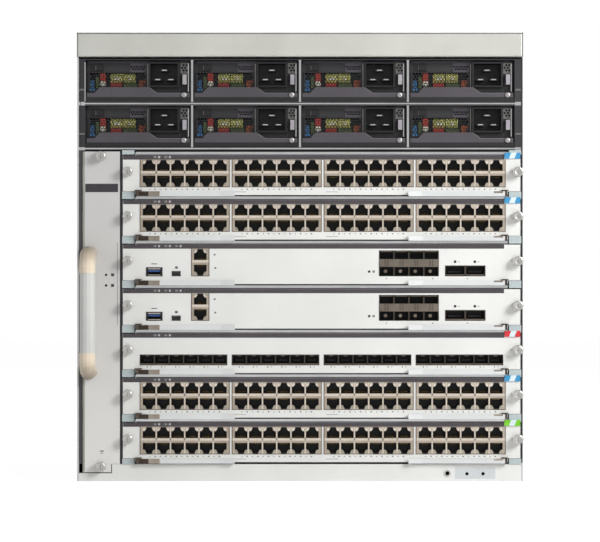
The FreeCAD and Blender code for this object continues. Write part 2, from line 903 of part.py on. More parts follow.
def handle():
    """Round grip on two elbows that turn back into the panel."""
    x = fan_left + handle_inset
    y = front - handle_reach + elbow_radius
    solids = [bar(grip_radius, handle_sides, (x, y, grip_bottom), (0, 0, 1), grip_length)]
    for end, way in ((grip_bottom, -1), (grip_bottom + grip_length, 1)):
        bend_end = end + way * elbow_neck
        sections = [ring(elbow_radius, handle_sides, (x, y, end), (0, 0, way))]
        for step in range(elbow_bend_steps + 1):
            turn = math.pi / 2 * step / elbow_bend_steps
            section = ring(elbow_radius, handle_sides, (x, y, bend_end), (0, 0, way))
            section.rotate(Vector(x, y + elbow_bend, bend_end), Vector(-way, 0, 0), math.degrees(turn))
            sections.append(section)
        leg = section.copy()
        leg.translate(Vector(0, front - y - elbow_bend, 0))
        solids.append(Part.makeLoft(sections + [leg], True, True))
    return solids


def fan_tray():
    """Panel, frame, handle and two captive screws."""
    x = fan_left + fan_screw_inset
    low = fan_strip_height + fan_screw_margin
    high = deck_bottom - fan_screw_margin
    screws = [*thumbscrew(x, low, fan_screw_radius), *thumbscrew(x, high, fan_screw_radius)]
    return [fan_panel(), *fan_frame(), *handle(), *screws]


def fan_rotor(depth_in, height):
    """Hub with flat blades, running on the motor shaft."""
    start = fan_left + fan_boss_length + fan_hub_play
    centre = Vector(start, front + depth_in, height)
    hub = bar(fan_hub_radius, fan_hub_sides, centre, (1, 0, 0), fan_hub_length)
    middle = centre + Vector(fan_hub_length / 2, 0, 0)
    root = fan_hub_radius * math.cos(math.pi / fan_hub_sides) - fan_blade_root
    chord = (middle.y - fan_blade_chord / 2, middle.y + fan_blade_chord / 2)
    thickness = (middle.x - fan_blade_sheet / 2, middle.x + fan_blade_sheet / 2)
    blades = []
    for blade in range(fan_blade_count):
        vane = block(thickness, chord, (height + root, height + fan_blade_radius))
        vane.rotate(middle, Vector(0, 0, 1), fan_blade_pitch)
        vane.rotate(middle, Vector(1, 0, 0), 360 * blade / fan_blade_count)
        blades.append(vane)
    bore_radius = around(fan_shaft_radius + fan_shaft_play, fan_shaft_sides)
    return hub.fuse(blades).cut(bar(bore_radius, fan_shaft_sides, centre, (1, 0, 0), fan_hub_length))


export("base_pan", *base_pan())
export("left_side_panel", side_panel(-1))
export("right_side_panel", side_panel(1))
export("top_cover", top_cover())
export("rear_panel", rear_panel())
export("top_bezel", top_bezel())
export("power_cage", *power_cage())
export("card_cage", *card_cage())
export("backplane", *backplane())

for slot in (1, 2, 6, 7):
    build_card("line_card_" + str(slot), slot, copper_connectors)
for slot in (3, 4):
    build_card("supervisor_" + str(slot), slot, supervisor_connectors)
build_card("fibre_card_5", 5, fibre_connectors)

for row in range(bay_rows):
    for column in range(bay_columns):
        number = 1 + row * bay_columns + column
        corner = (bay_left(column) + bay_play_side, bay_floor(row) + bay_play_height)
        export("power_supply_" + str(number), *power_supply(*corner))
        export("power_supply_" + str(number) + "_latch", psu_latch(*corner))

export("fan_tray", *fan_tray())
for number, centre in enumerate(fan_centres(), start=1):
    export("fan_rotor_" + str(number), fan_rotor(*centre))
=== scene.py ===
# %% [markdown]
# # A modular chassis switch
# The real object is a steel box ten rack units tall. Seven cards, eight power supplies and one fan
# tray slide into its front. The construction comes ready made as a frame of solids, so this lesson
# only dresses it: finishes, screens, contacts, marks and other pieces too fine for the solids.

# %% Load the frame
import math

import bpy
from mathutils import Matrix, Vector


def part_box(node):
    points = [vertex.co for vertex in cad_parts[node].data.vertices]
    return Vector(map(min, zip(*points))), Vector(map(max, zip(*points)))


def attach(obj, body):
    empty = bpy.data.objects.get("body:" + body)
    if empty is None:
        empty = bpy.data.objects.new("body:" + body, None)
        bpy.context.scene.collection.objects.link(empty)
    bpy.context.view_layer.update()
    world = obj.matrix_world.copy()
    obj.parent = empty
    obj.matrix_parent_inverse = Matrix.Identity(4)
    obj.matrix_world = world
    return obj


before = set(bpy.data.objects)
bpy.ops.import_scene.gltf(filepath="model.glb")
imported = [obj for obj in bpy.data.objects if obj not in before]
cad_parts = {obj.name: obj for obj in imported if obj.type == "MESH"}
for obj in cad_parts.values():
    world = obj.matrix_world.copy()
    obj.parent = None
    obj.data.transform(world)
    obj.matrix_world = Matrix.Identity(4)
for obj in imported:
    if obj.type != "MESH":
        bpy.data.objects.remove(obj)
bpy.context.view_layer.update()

# %% [markdown]
# ## Units and places
# Blender works in metres, but parts like these are drawn in millimetres. One number turns between
# them. The places that everything hangs on are read from the frame's own boxes, so a change of the
# solids moves the dressing too.

# %% Places read from the frame
MM = 0.001


def box_mm(node):
    low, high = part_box(node)
    return Vector(low) / MM, Vector(high) / MM


PANEL_LOW = box_mm("left_side_panel")[0]
RIGHT_HIGH = box_mm("right_side_panel")[1]
FRONT = PANEL_LOW.y
CASE_LEFT, CASE_RIGHT = PANEL_LOW.x, RIGHT_HIGH.x
CASE_TOP = box_mm("top_bezel")[1].z
COPPER = ["line_card_1", "line_card_2", "line_card_6", "line_card_7"]
SUPERVISORS = ["supervisor_3", "supervisor_4"]
FIBRE = ["fibre_card_5"]
CARDS = COPPER + SUPERVISORS + FIBRE
CARD_LEFT, CARD_RIGHT = box_mm(CARDS[0])[0].x, box_mm(CARDS[0])[1].x
SUPPLIES = ["power_supply_" + str(n) for n in range(1, 9)]
LEVER_DROP = 0.9
print("front plane at", round(FRONT, 2), "mm, case", round(CASE_RIGHT - CASE_LEFT, 1), "mm wide")


def slot_bottom(card):
    """The lowest part of a card is its lever pin, which hangs a little under its slot."""
    return box_mm(card)[0].z + LEVER_DROP


# %% [markdown]
# ## Camera
# A catalogue picture of a rack device is taken square to its front, from far away with a long lens,
# so that the rows stay parallel. The picture is 600 by 542 pixels, and the chassis fills 446 of the
# 600 across. The lens follows from the distance and that scale. The camera looks level, at the height
# that lies in the middle row of the picture.

# %% Camera
PICTURE = (600, 542)
CHASSIS_PIXELS = 445.6
BASE_ROW = 481.1
CAMERA_DISTANCE = 3.1
SENSOR = 36.0

mm_per_pixel = (CASE_RIGHT - CASE_LEFT) / CHASSIS_PIXELS
camera_height = (BASE_ROW - PICTURE[1] / 2) * mm_per_pixel * MM
camera_data = bpy.data.cameras.new("catalogue_camera")
camera_data.sensor_width = SENSOR
camera_data.lens = SENSOR * CAMERA_DISTANCE / (PICTURE[0] * mm_per_pixel * MM)
camera = bpy.data.objects.new("catalogue_camera", camera_data)
camera.location = (0, FRONT * MM - CAMERA_DISTANCE, camera_height)
camera.rotation_euler = (math.radians(90), 0, 0)
bpy.context.scene.collection.objects.link(camera)
bpy.context.scene.camera = camera
print("lens", round(camera_data.lens, 1), "mm at", CAMERA_DISTANCE, "m")

# %% [markdown]
# ## Colours and nodes
# Colours are noted as the hex values that a paint card or a picture gives, which are stored with the
# sRGB curve. Shaders want linear values, so one function turns them. A second small function adds a
# node with its settings and links, and every material below is built with it.

# %% Two helpers for materials
def linear(hex_colour):
    """sRGB hex text to linear red, green, blue and alpha."""
    values = []
    for start in (1, 3, 5):
        value = int(hex_colour[start:start + 2], 16) / 255
        values.append(value / 12.92 if value <= 0.04045 else ((value + 0.055) / 1.055) ** 2.4)
    return (*values, 1.0)


def add(tree, kind, inputs=None, **settings):
    """Add one node, set its settings, and link or fill its inputs."""
    made = tree.nodes.new(kind)
    for name, value in settings.items():
        setattr(made, name, value)
    for name, value in (inputs or {}).items():
        if isinstance(value, bpy.types.NodeSocket):
            tree.links.new(value, made.inputs[name])
        else:
            made.inputs[name].default_value = value
    return made


print("middle grey in linear light:", round(linear("#808080")[0], 3))

# %% [markdown]
# ## Floor, backdrop and light
# The product stands in a white studio. The floor and the world are plain white only where the camera
# or a see-through surface looks at them. A reflection meets a dimmer white, because a full white
# mirrored in dark paint would turn it grey. The light that both give to the object stays low, so that
# its whites aren't washed out. The floor keeps a share of its own shading, which holds the shadow.

# %% White where it is seen
MIRRORED = 0.4
WHITE = (1, 1, 1, 1)


def white_when_seen(tree, share):
    """Share of white: all of it for the camera and see-through surfaces, less for reflections."""
    path = add(tree, "ShaderNodeLightPath")
    mirrored = add(tree, "ShaderNodeMath", {0: path.outputs["Is Glossy Ray"], 1: MIRRORED},
                   operation="MULTIPLY")
    seen = add(tree, "ShaderNodeMath", {0: path.outputs["Is Camera Ray"], 1: mirrored.outputs[0]},
               operation="MAXIMUM")
    seen = add(tree, "ShaderNodeMath", {0: seen.outputs[0], 1: path.outputs["Is Transmission Ray"]},
               operation="MAXIMUM")
    return add(tree, "ShaderNodeMath", {0: seen.outputs[0], 1: share}, operation="MULTIPLY").outputs[0]


# %% Floor
FLOOR_GLOW = 1.08
SHADOW_SHARE = 0.12
FLOOR_HALF = 6.0
FLOOR_SINK = 0.0002

# Matt white paint: it shows no reflection of the object, only its soft shadow.
floor_paint = bpy.data.materials.new("studio_white_floor")
floor_paint.use_nodes = True
tree = floor_paint.node_tree
tree.nodes.clear()
matt = add(tree, "ShaderNodeBsdfDiffuse", {"Color": linear("#F4F4F4")})
glow = add(tree, "ShaderNodeEmission", {"Color": WHITE, "Strength": FLOOR_GLOW})
share = white_when_seen(tree, 1.0 - SHADOW_SHARE)
mixed = add(tree, "ShaderNodeMixShader", {"Fac": share, 1: matt.outputs[0], 2: glow.outputs[0]})
add(tree, "ShaderNodeOutputMaterial", {"Surface": mixed.outputs[0]})

floor_mesh = bpy.data.meshes.new("studio_floor")
corners = [(-FLOOR_HALF, -FLOOR_HALF, 0), (FLOOR_HALF, -FLOOR_HALF, 0),
           (FLOOR_HALF, FLOOR_HALF, 0), (-FLOOR_HALF, FLOOR_HALF, 0)]
floor_mesh.from_pydata(corners, [], [(0, 1, 2, 3)])
floor_mesh.materials.append(floor_paint)
floor = bpy.data.objects.new("studio_floor", floor_mesh)
floor.location.z = -FLOOR_SINK
bpy.context.scene.collection.objects.link(floor)
print("floor", 2 * FLOOR_HALF, "m wide")

# %% Backdrop
AMBIENT = 0.36

world = bpy.data.worlds.new("studio_world")
world.use_nodes = True
bpy.context.scene.world = world
tree = world.node_tree
tree.nodes.clear()
dim = add(tree, "ShaderNodeBackground", {"Color": WHITE, "Strength": AMBIENT})
white = add(tree, "ShaderNodeBackground", {"Color": WHITE, "Strength": 1.0})
share = white_when_seen(tree, 1.0)
mixed = add(tree, "ShaderNodeMixShader", {"Fac": share, 1: dim.outputs[0], 2: white.outputs[0]})
add(tree, "ShaderNodeOutputWorld", {"Surface": mixed.outputs[0]})
bpy.context.scene.view_settings.view_transform = "Standard"
print("light from all round:", AMBIENT)

# %% [markdown]
# ### Lamps
# Three soft boxes light the object. The strongest stands near it and to the right, as the screws'
# shadows fall to the left, and because a near lamp fades across the front as the picture does. A weak
# one from the left opens those shadows, and one from behind and above draws the top edge.

# %% Lamps
def soft_lamp(name, place, aim, size, watts):
    """A square soft box that looks at a point."""
    data = bpy.data.lights.new(name, "AREA")
    data.shape = "SQUARE"
    data.size = size
    data.energy = watts
    lamp = bpy.data.objects.new(name, data)
    lamp.location = place
    lamp.rotation_euler = (Vector(aim) - Vector(place)).to_track_quat("-Z", "Y").to_euler()
    bpy.context.scene.collection.objects.link(lamp)
    return lamp


AIM = (0, 0, 0.22)
soft_lamp("key_right", (1.05, -1.15, 0.85), AIM, 0.6, 19)
soft_lamp("fill_left", (-2.2, -1.8, 0.8), AIM, 1.6, 6)
soft_lamp("top_back", (0.4, 1.8, 2.2), AIM, 1.6, 16)

# %% [markdown]
# ## Finishes
# Each finish starts from the real material and how its surface was made. Powder coat and satin paint
# have a faint orange peel. Plated steel is metallic with streaks from rolling or brushing. Moulded
# plastic has a fine spark-eroded grain. The peel of powder coat is about a millimetre across, as here.
# Rolling streaks and the grain of a mould are finer than a picture shows, so they are drawn as coarse
# as 0.7 and 0.35 mm. Patterns use object coordinates, so they travel with a piece. Metals keep the
# default IOR, and plastics have 1.5.

# %% The shared start of every finish
def new_finish(name):
    """Empty material with its coordinates and surface."""
    finish = bpy.data.materials.new(name)
    finish.use_nodes = True
    tree = finish.node_tree
    tree.nodes.clear()
    place = add(tree, "ShaderNodeTexCoord")
    surface = add(tree, "ShaderNodeBsdfPrincipled")
    add(tree, "ShaderNodeOutputMaterial", {"Surface": surface.outputs[0]})
    return finish, tree, place, surface


def mottle(tree, place, grain_mm, low, high, stretch=(1, 1, 1)):
    """Noise of a real grain size, and the same turned to values between low and high."""
    scaled = add(tree, "ShaderNodeMapping", {"Vector": place.outputs["Object"], "Scale": stretch})
    noise = add(tree, "ShaderNodeTexNoise", {"Vector": scaled.outputs[0], "Scale": 1 / (grain_mm * MM),
                                             "Detail": 3.0})
    spread = add(tree, "ShaderNodeMapRange", {"Value": noise.outputs["Fac"], "From Min": 0.3,
                                              "From Max": 0.7, "To Min": low, "To Max": high})
    return noise.outputs["Fac"], spread.outputs[0]


def tinted(tree, factor, first, second):
    """Colour between two hex values."""
    ramp = add(tree, "ShaderNodeMix", {"Factor": factor, 6: linear(first), 7: linear(second)},
               data_type="RGBA")
    return ramp.outputs[2]


def relief(tree, height, strength, depth_mm):
    """Surface direction that follows a fine height pattern."""
    bump = add(tree, "ShaderNodeBump", {"Height": height, "Strength": strength, "Distance": depth_mm * MM})
    return bump.outputs[0]


# %% Four ways to make a surface
def coated(name, colour, shade, roughness, metallic=0.0):
    """Paint or powder coat: two close tones, a soft sheen and a faint orange peel."""
    finish, tree, place, surface = new_finish(name)
    _, tone = mottle(tree, place, 60.0, 0.0, 1.0)
    peel, rough = mottle(tree, place, 1.2, roughness - 0.04, roughness + 0.05)
    tree.links.new(tinted(tree, tone, colour, shade), surface.inputs["Base Color"])
    tree.links.new(rough, surface.inputs["Roughness"])
    tree.links.new(relief(tree, peel, 0.18, 0.02), surface.inputs["Normal"])
    surface.inputs["Metallic"].default_value = metallic
    return finish


def plated(name, colour, shade, roughness, stretch=(0.04, 1, 1), streak_mm=0.7):
    """Plated or bare metal with streaks along its rolling or brushing direction."""
    finish, tree, place, surface = new_finish(name)
    streak, rough = mottle(tree, place, streak_mm, roughness - 0.06, roughness + 0.08, stretch)
    _, tone = mottle(tree, place, 25.0, 0.0, 1.0)
    tree.links.new(tinted(tree, tone, colour, shade), surface.inputs["Base Color"])
    tree.links.new(rough, surface.inputs["Roughness"])
    tree.links.new(relief(tree, streak, 0.15, 0.01), surface.inputs["Normal"])
    surface.inputs["Metallic"].default_value = 1.0
    return finish


def moulded(name, colour, shade, roughness, grain_mm=0.35):
    """Injection moulded plastic with the grain of its mould."""
    finish, tree, place, surface = new_finish(name)
    grain, rough = mottle(tree, place, grain_mm, roughness - 0.05, roughness + 0.07)
    _, tone = mottle(tree, place, 12.0, 0.0, 1.0)
    tree.links.new(tinted(tree, tone, colour, shade), surface.inputs["Base Color"])
    tree.links.new(rough, surface.inputs["Roughness"])
    tree.links.new(relief(tree, grain, 0.25, 0.015), surface.inputs["Normal"])
    surface.inputs["IOR"].default_value = 1.5
    return finish


def painted_light_by_height(name, near, far, middle_z, reach_mm, roughness):
    """Paint that turns from one tone to another away from a height: painted light and shade."""
    finish, tree, place, surface = new_finish(name)
    rise = add(tree, "ShaderNodeSeparateXYZ", {"Vector": place.outputs["Object"]})
    away = add(tree, "ShaderNodeMath", {0: rise.outputs["Z"], 1: middle_z * MM}, operation="SUBTRACT")
    away = add(tree, "ShaderNodeMath", {0: away.outputs[0]}, operation="ABSOLUTE")
    tone = add(tree, "ShaderNodeMapRange", {"Value": away.outputs[0], "From Min": reach_mm[0] * MM,
                                            "From Max": reach_mm[1] * MM})
    _, rough = mottle(tree, place, 0.8, roughness - 0.05, roughness + 0.05)
    tree.links.new(tinted(tree, tone.outputs[0], near, far), surface.inputs["Base Color"])
    tree.links.new(rough, surface.inputs["Roughness"])
    return finish


# %% [markdown]
# ### The finishes of this chassis
# Names say what the real surface is, and a comment says what it gives the eye. The faces are white
# powder coat, the strips and fascias are mauve grey paint, connector shells are tinned brass, and the
# levers are nickel on steel.

# %% Paints and powder coats
# A soft sheen with no mirror image, so the faces take the lamp's slow fade from right to left.
face_white = coated("white_powder_coat", "#E8E8E5", "#E1E1DE", 0.42)
# Fine metal flakes under lacquer: greyer than the faces, and brighter towards the lamp.
bezel_silver = coated("silver_metallic_paint", "#CFCFC8", "#C3C3BC", 0.36, metallic=0.2)
# Pale grey coat of the tray's panel, painted paler towards its foot: painted light thrown back by the
# floor.
tray_painted_bounce = painted_light_by_height("pale_grey_powder_coat_painted_bounce", "#E4E3E0", "#CCCBC9", 0.0, (30.0, 210.0), 0.45)
# Grey paint on the outer sheets: flat and even, a calm ground for the vents.
panel_grey = coated("pale_grey_paint_on_steel", "#C2C4C3", "#BDBFBE", 0.45)
# Nearly black inside the cage, with just enough sheen to show its folds. On the zinc wall beside the fan
# tray it is painted shade.
cage_dark_and_painted_shade = coated("charcoal_powder_coat_and_painted_shade", "#29282B", "#212023", 0.5)
# A thin warm dark band between the white faces.
strip_mauve = coated("mauve_grey_paint", "#4B464A", "#443F43", 0.4)
# The supplies' fascias lean less to brown than the strips do.
fascia_mauve = coated("mauve_grey_fascia_paint", "#4E4A50", "#454147", 0.42)
# The lip under each fascia: mauve paint darkened almost to black with painted shade, so the fascia's edge
# stands out.
lip_painted_shade = coated("mauve_lip_paint_and_painted_shade", "#131214", "#0E0D0F", 0.45)
# Ends of the guide rails: the only cool tone beside the white faces.
rail_pale = coated("pale_cyan_grey_paint", "#BCC6C6", "#AEBABC", 0.4)
# The tray's rolled edge, seen aslant: a dull line of painted shade that ends the panel.
rolled_edge_painted_shade = coated("painted_shade_on_rolled_edge", "#9A9D93", "#8C9086", 0.5)
# Painted castings at both ends of the grip: beige, with a painted highlight near the grip and browner
# painted shade towards the panel.
elbow_painted_light_and_shade = painted_light_by_height("beige_cast_elbow_painted_light_and_shade", "#E9DAC4", "#9A8C7C", 166.0, (46.0, 66.0), 0.4)
# Thin screens with black e-coat: dark webs, so the colours behind them read through the holes.
screen_dark = coated("black_e_coated_screen", "#222125", "#19181B", 0.38)
# The same kind of screen in mauve grey, beside the switch.
screen_mauve = coated("mauve_grey_coated_screen", "#4A464D", "#413D44", 0.4)
print("paints:", len(bpy.data.materials) - 1)

# %% Metals
# Zinc plated sheet: cool grey with faint streaks from rolling.
zinc_sheet = plated("zinc_plated_steel", "#C7C9C9", "#B2B5B6", 0.38)
# Sprung steel of the gasket fingers and dividers: bright thin lines.
edge_chrome = plated("bright_spring_steel", "#E3E4E4", "#CFD1D1", 0.2)
# Satin nickel on the levers' arms: almost as pale as the faces, with a cool sheen.
lever_nickel = coated("pale_nickel_lever_satin", "#E4E6E6", "#DADCDC", 0.34, metallic=0.25)
# Bright nickel at the levers' roots, painted brown as a reflection of the dark gaps beside it.
lever_painted_dark_reflection = plated("nickel_painted_dark_reflection", "#6E6257", "#3F3833", 0.16, (0.3, 1, 1), 6.0)
# A little further out the same nickel, painted pale brown as a reflection of the beige shells.
lever_painted_pale_reflection = plated("nickel_painted_pale_reflection", "#C9BEB2", "#9B8F82", 0.16, (0.3, 1, 1), 5.0)
# Painted glints on the inlet pins: three bright marks in a black mouth.
pin_painted_glint = plated("nickel_pin_painted_glint", "#F0EFEA", "#D9D7D0", 0.18)
# Turned and plated screws: soft, with bright rims from their knurls.
screw_nickel = plated("nickel_plated_screw", "#D9D8D4", "#C2C0BB", 0.3, (1, 0.1, 1))
# Tinned brass of the socket shells: a warm grey beige, dull beside nickel.
shell_tin = plated("tinned_brass_shell", "#C6BBAC", "#AFA293", 0.42)
# Thin warm threads deep in the dark sockets.
contact_gold = plated("gold_plated_contact", "#E2B65A", "#C99A3E", 0.25)
# Anodised aluminium grip: pale and silky, with a long soft highlight.
grip_metal = coated("pale_anodised_grip", "#D6D6D3", "#CDCDCA", 0.36)
# The ground pad has no paint, so it is a cool patch in the white base.
pad_nickel = coated("bare_ground_pad_nickel", "#D6DADB", "#CCD0D2", 0.4, metallic=0.3)
# Passivated brackets: plain mid grey lines.
bracket_grey = plated("grey_passivated_bracket", "#8D8D8A", "#7C7C79", 0.4)
# Blackened steel round the fibre cages: brown grey frames that hardly part from the dark in them.
port_dark = plated("blackened_cage_steel", "#5A524B", "#4B443E", 0.45)
print("paints and metals:", len(bpy.data.materials) - 1)

# %% Plastics and laminates
# Sockets moulded in black polyester: deep, with hardly a sheen.
socket_black = moulded("black_polyester_socket", "#151414", "#0E0D0D", 0.5)
# Inlets moulded in black nylon: a step glossier than the sockets.
inlet_black = moulded("black_nylon_inlet", "#111012", "#0B0B0C", 0.4)
# Pale latches stand out from the dark supplies.
tab_grey = moulded("pale_grey_latch_nylon", "#A8A3AA", "#99949B", 0.45)
# Rotors with glass fibre in them: black with a dry sheen.
rotor_black = moulded("black_glass_filled_rotor", "#1A1A1B", "#111112", 0.45)
# The tongue in a service port: the one strong colour on a supervisor.
usb_blue = moulded("blue_usb_tongue", "#2F558F", "#25457A", 0.4)
# Solder mask over copper: glossy dark green.
board_green = moulded("green_solder_mask", "#1E5B36", "#174B2B", 0.3, 1.5)
# Screen print in grey: soft marks, as small print looks from afar.
mark_grey = moulded("grey_screen_print", "#6E6E70", "#626264", 0.6)
# Lamps that are off: small dark dots.
lens_smoke = moulded("smoked_indicator_lens", "#3B3B3A", "#2F2F2E", 0.25)
# The blank plate on the tray: a satin film, warmer than the black plastics.
label_dark = moulded("dark_blank_label", "#38353A", "#302D32", 0.5)
# Flat films at the right ends of the cards, in three strong colours.
tape_blue = moulded("blue_slot_tape", "#3E9ACB", "#3389BA", 0.5)
tape_red = moulded("red_slot_tape", "#D8323A", "#C3282F", 0.5)
tape_green = moulded("green_slot_tape", "#7ED321", "#6FBE1B", 0.5)
print("finishes:", len(bpy.data.materials))

# %% [markdown]
# ## Painting the solids
# The frame's solids keep their meshes. A rule looks at the middle and the facing of each polygon, in
# millimetres, and says which finish it gets, so a socket's shell and its dark inside can differ.

# %% Paint a node by rule
def paint(node, finishes, rule):
    """Give a CAD node its finishes; rule returns the place of one in the list."""
    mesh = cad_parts[node].data
    mesh.materials.clear()
    for finish in finishes:
        mesh.materials.append(finish)
    for polygon in mesh.polygons:
        polygon.material_index = rule(polygon.center / MM, polygon.normal)


def all_one(middle, normal):
    return 0


# %% Paint the case
JACK_RING = (141, 149)
FAN_WALL = -174.9
CAGE_FRAME = 12
CAGE_HEAD = 27.5


def base_rule(middle, normal):
    """White, with nickel in the round jack for a wrist strap."""
    return 1 if JACK_RING[0] < middle.x < JACK_RING[1] and middle.z > 4 else 0


def power_cage_rule(middle, normal):
    """Dark, with bright front edges on the shelf and the dividers."""
    inner = abs(middle.x) < CASE_RIGHT - CAGE_FRAME and middle.z < CASE_TOP - CAGE_HEAD
    return 1 if normal.y < -0.9 and inner else 0


def card_cage_rule(middle, normal):
    """Zinc inside, pale rail ends at the front, and painted shade on the zinc wall beside the fan tray."""
    if middle.y < FRONT + 4:
        return 1
    return 2 if middle.x < FAN_WALL else 0


for node in ("left_side_panel", "right_side_panel", "top_cover", "rear_panel"):
    paint(node, [panel_grey], all_one)
paint("base_pan", [face_white, screw_nickel], base_rule)
paint("top_bezel", [bezel_silver], all_one)
paint("power_cage", [cage_dark_and_painted_shade, edge_chrome], power_cage_rule)
paint("card_cage", [zinc_sheet, rail_pale, cage_dark_and_painted_shade], card_cage_rule)
paint("backplane", [board_green], all_one)
print("painted the case")

# %% Paint the cards
BOARD_TOP = 8.2
SOCKET_BACK = 60
HEAT_SINK_END = 300
CAGES_FROM = 70.0
LEVER_ROOT = 7.5


def board_rule(card):
    """Shells at the front, dark inside the sockets, green board, metal heat sink."""
    board = slot_bottom(card) + BOARD_TOP
    dark_from = CARD_RIGHT
    if card in SUPERVISORS:
        dark_from = CAGES_FROM
    if card in FIBRE:
        dark_from = CARD_LEFT

    def rule(middle, normal):
        if middle.z < board:
            return 0
        if middle.y > FRONT + SOCKET_BACK:
            return 3 if middle.y < FRONT + HEAT_SINK_END else 2
        if normal.y < -0.9 and middle.y < FRONT:
            return 4 if middle.x > dark_from else 1
        return 2

    return rule


def card_rule(card):
    """White face, chrome spring strip, nickel screws, lever pins in the painted dark reflection, zinc tray.
    """
    bottom = slot_bottom(card)

    def rule(middle, normal):
        if middle.z > bottom + 39.3:
            return 3
        if middle.y < FRONT - 0.05:
            return 2 if middle.z > bottom + 8 else 4
        return 0 if middle.y < FRONT + 1.7 else 1

    return rule


def lever_rule(root):
    """Painted brown reflection near the pin, pale satin along the arm."""
    def rule(middle, normal):
        return 1 if abs(middle.x - root) < LEVER_ROOT else 0

    return rule


for card in CARDS:
    paint(card, [face_white, zinc_sheet, screw_nickel, edge_chrome, lever_painted_dark_reflection], card_rule(card))
    paint(card + "_board", [board_green, shell_tin, socket_black, zinc_sheet, port_dark], board_rule(card))
    for side, end in (("left", 0), ("right", 1)):
        lever = card + "_lever_" + side
        paint(lever, [lever_nickel, lever_painted_dark_reflection], lever_rule(box_mm(lever)[end].x))
print("painted", len(CARDS), "cards and their levers")

# %% Paint the power supplies and the fan tray
SETBACK = 10.0
LIP_TOP = 4.45
INLET_SIDES, INLET_FOOT, INLET_BACK = (61.8, 92.0), 14.3, 27
SWITCH_SIDES, SWITCH_RISE = (9.9, 16.3), (31, 36.6)
FASCIA_BACK = 2.1


def supply_rule(corner):
    """Dark case, black inlet and switch, mauve fascia, and a lip darkened with painted shade."""
    def rule(middle, normal):
        across = middle.x - corner.x
        rise = middle.z - corner.z
        depth = middle.y - FRONT
        proud = depth < SETBACK - 0.1
        if INLET_SIDES[0] < across < INLET_SIDES[1] and rise > INLET_FOOT and depth < INLET_BACK:
            return 2
        if SWITCH_SIDES[0] < across < SWITCH_SIDES[1] and SWITCH_RISE[0] < rise < SWITCH_RISE[1] and proud:
            return 2
        if depth < FASCIA_BACK and rise > LIP_TOP:
            return 1
        return 3 if proud and rise < LIP_TOP else 0

    return rule


for supply in SUPPLIES:
    paint(supply, [cage_dark_and_painted_shade, fascia_mauve, inlet_black, lip_painted_shade], supply_rule(box_mm(supply)[0]))
    paint(supply + "_latch", [tab_grey], all_one)

HANDLE_MIDDLE, HANDLE_HALF = 166, 80
GRIP = (127, 205)


def tray_rule(middle, normal):
    """Zinc frame, grey panel with painted light at its foot, nickel screws, and a grip between two beige
    elbows with painted light and shade.
    """
    if middle.y > FRONT + FASCIA_BACK:
        return 1
    if middle.y > FRONT - 0.05:
        return 0
    if abs(middle.z - HANDLE_MIDDLE) < HANDLE_HALF:
        return 3 if GRIP[0] < middle.z < GRIP[1] else 4
    return 2


paint("fan_tray", [tray_painted_bounce, zinc_sheet, screw_nickel, grip_metal, elbow_painted_light_and_shade], tray_rule)
for number in range(1, 7):
    paint("fan_rotor_" + str(number), [rotor_black], all_one)
print("painted", len(SUPPLIES), "supplies and the fan tray")

# %% [markdown]
# ## A workpiece
# The added pieces are drawn in code. A workpiece gathers faces in millimetres, each with its finish,
# and becomes one mesh that rides on one body. Boxes can get a narrow bevel afterwards, because an edge
# with no radius never catches the light as a real one does.

# %% Gather faces into one mesh
class Workpiece:
    """Faces in millimetres that become one mesh."""

    def __init__(self):
        self.points = []
        self.faces = []
        self.finishes = []
        self.rounded = []

    def face(self, corners, finish, rounded=False):
        start = len(self.points)
        self.points.extend(tuple(corner) for corner in corners)
        self.faces.append(list(range(start, start + len(corners))))
        self.finishes.append(finish)
        self.rounded.append(rounded)

    def prism(self, outline, axis, low, high, finish):
        """Outline in the other two axes, in order, pushed from low to high."""
        def at(a, b, along):
            return {"x": (along, a, b), "y": (a, along, b), "z": (a, b, along)}[axis]

        first = [at(a, b, low) for a, b in outline]
        last = [at(a, b, high) for a, b in outline]
        self.face(list(reversed(first)), finish)
        self.face(last, finish)
        for here in range(len(outline)):
            then = (here + 1) % len(outline)
            self.face([first[here], first[then], last[then], last[here]], finish)

    def box(self, x, y, z, finish):
        self.prism([(x[0], y[0]), (x[1], y[0]), (x[1], y[1]), (x[0], y[1])], "z", z[0], z[1], finish)

    def turned(self, profile, centre, axis, finish, sides=32, ridge=0.0):
        """Profile of (radius, along) turned round an axis; ridge raises every second side."""
        frames = {"x": ((0, 1, 0), (0, 0, 1), (1, 0, 0)), "y": ((0, 0, 1), (1, 0, 0), (0, 1, 0)),
                  "z": ((1, 0, 0), (0, 1, 0), (0, 0, 1))}
        first, second, along = [Vector(v) for v in frames[axis]]
        rings = []
        for radius, travel in profile:
            ring = []
            for side in range(sides):
                reach = radius + (ridge if side % 2 else 0.0)
                angle = 2 * math.pi * side / sides
                spoke = first * (reach * math.cos(angle)) + second * (reach * math.sin(angle))
                ring.append(Vector(centre) + spoke + along * travel)
            rings.append(ring)
        for lower, upper in zip(rings, rings[1:]):
            for side in range(sides):
                then = (side + 1) % sides
                self.face([lower[side], lower[then], upper[then], upper[side]], finish, not ridge)
        self.face(list(reversed(rings[0])), finish)
        self.face(rings[-1], finish)

    def done(self, name, body, slot, at=(0, 0, 0), bevel=0.0):
        """Make the mesh with its finishes and place it."""
        mesh = bpy.data.meshes.new(name)
        mesh.from_pydata([tuple(value * MM for value in point) for point in self.points], [], self.faces)
        order = []
        for finish in self.finishes:
            if finish not in order:
                order.append(finish)
                mesh.materials.append(finish)
        for polygon, finish, rounded in zip(mesh.polygons, self.finishes, self.rounded):
            polygon.material_index = order.index(finish)
            polygon.use_smooth = rounded
        mesh.update()
        return place_copy(name, mesh, body, slot, at, bevel)


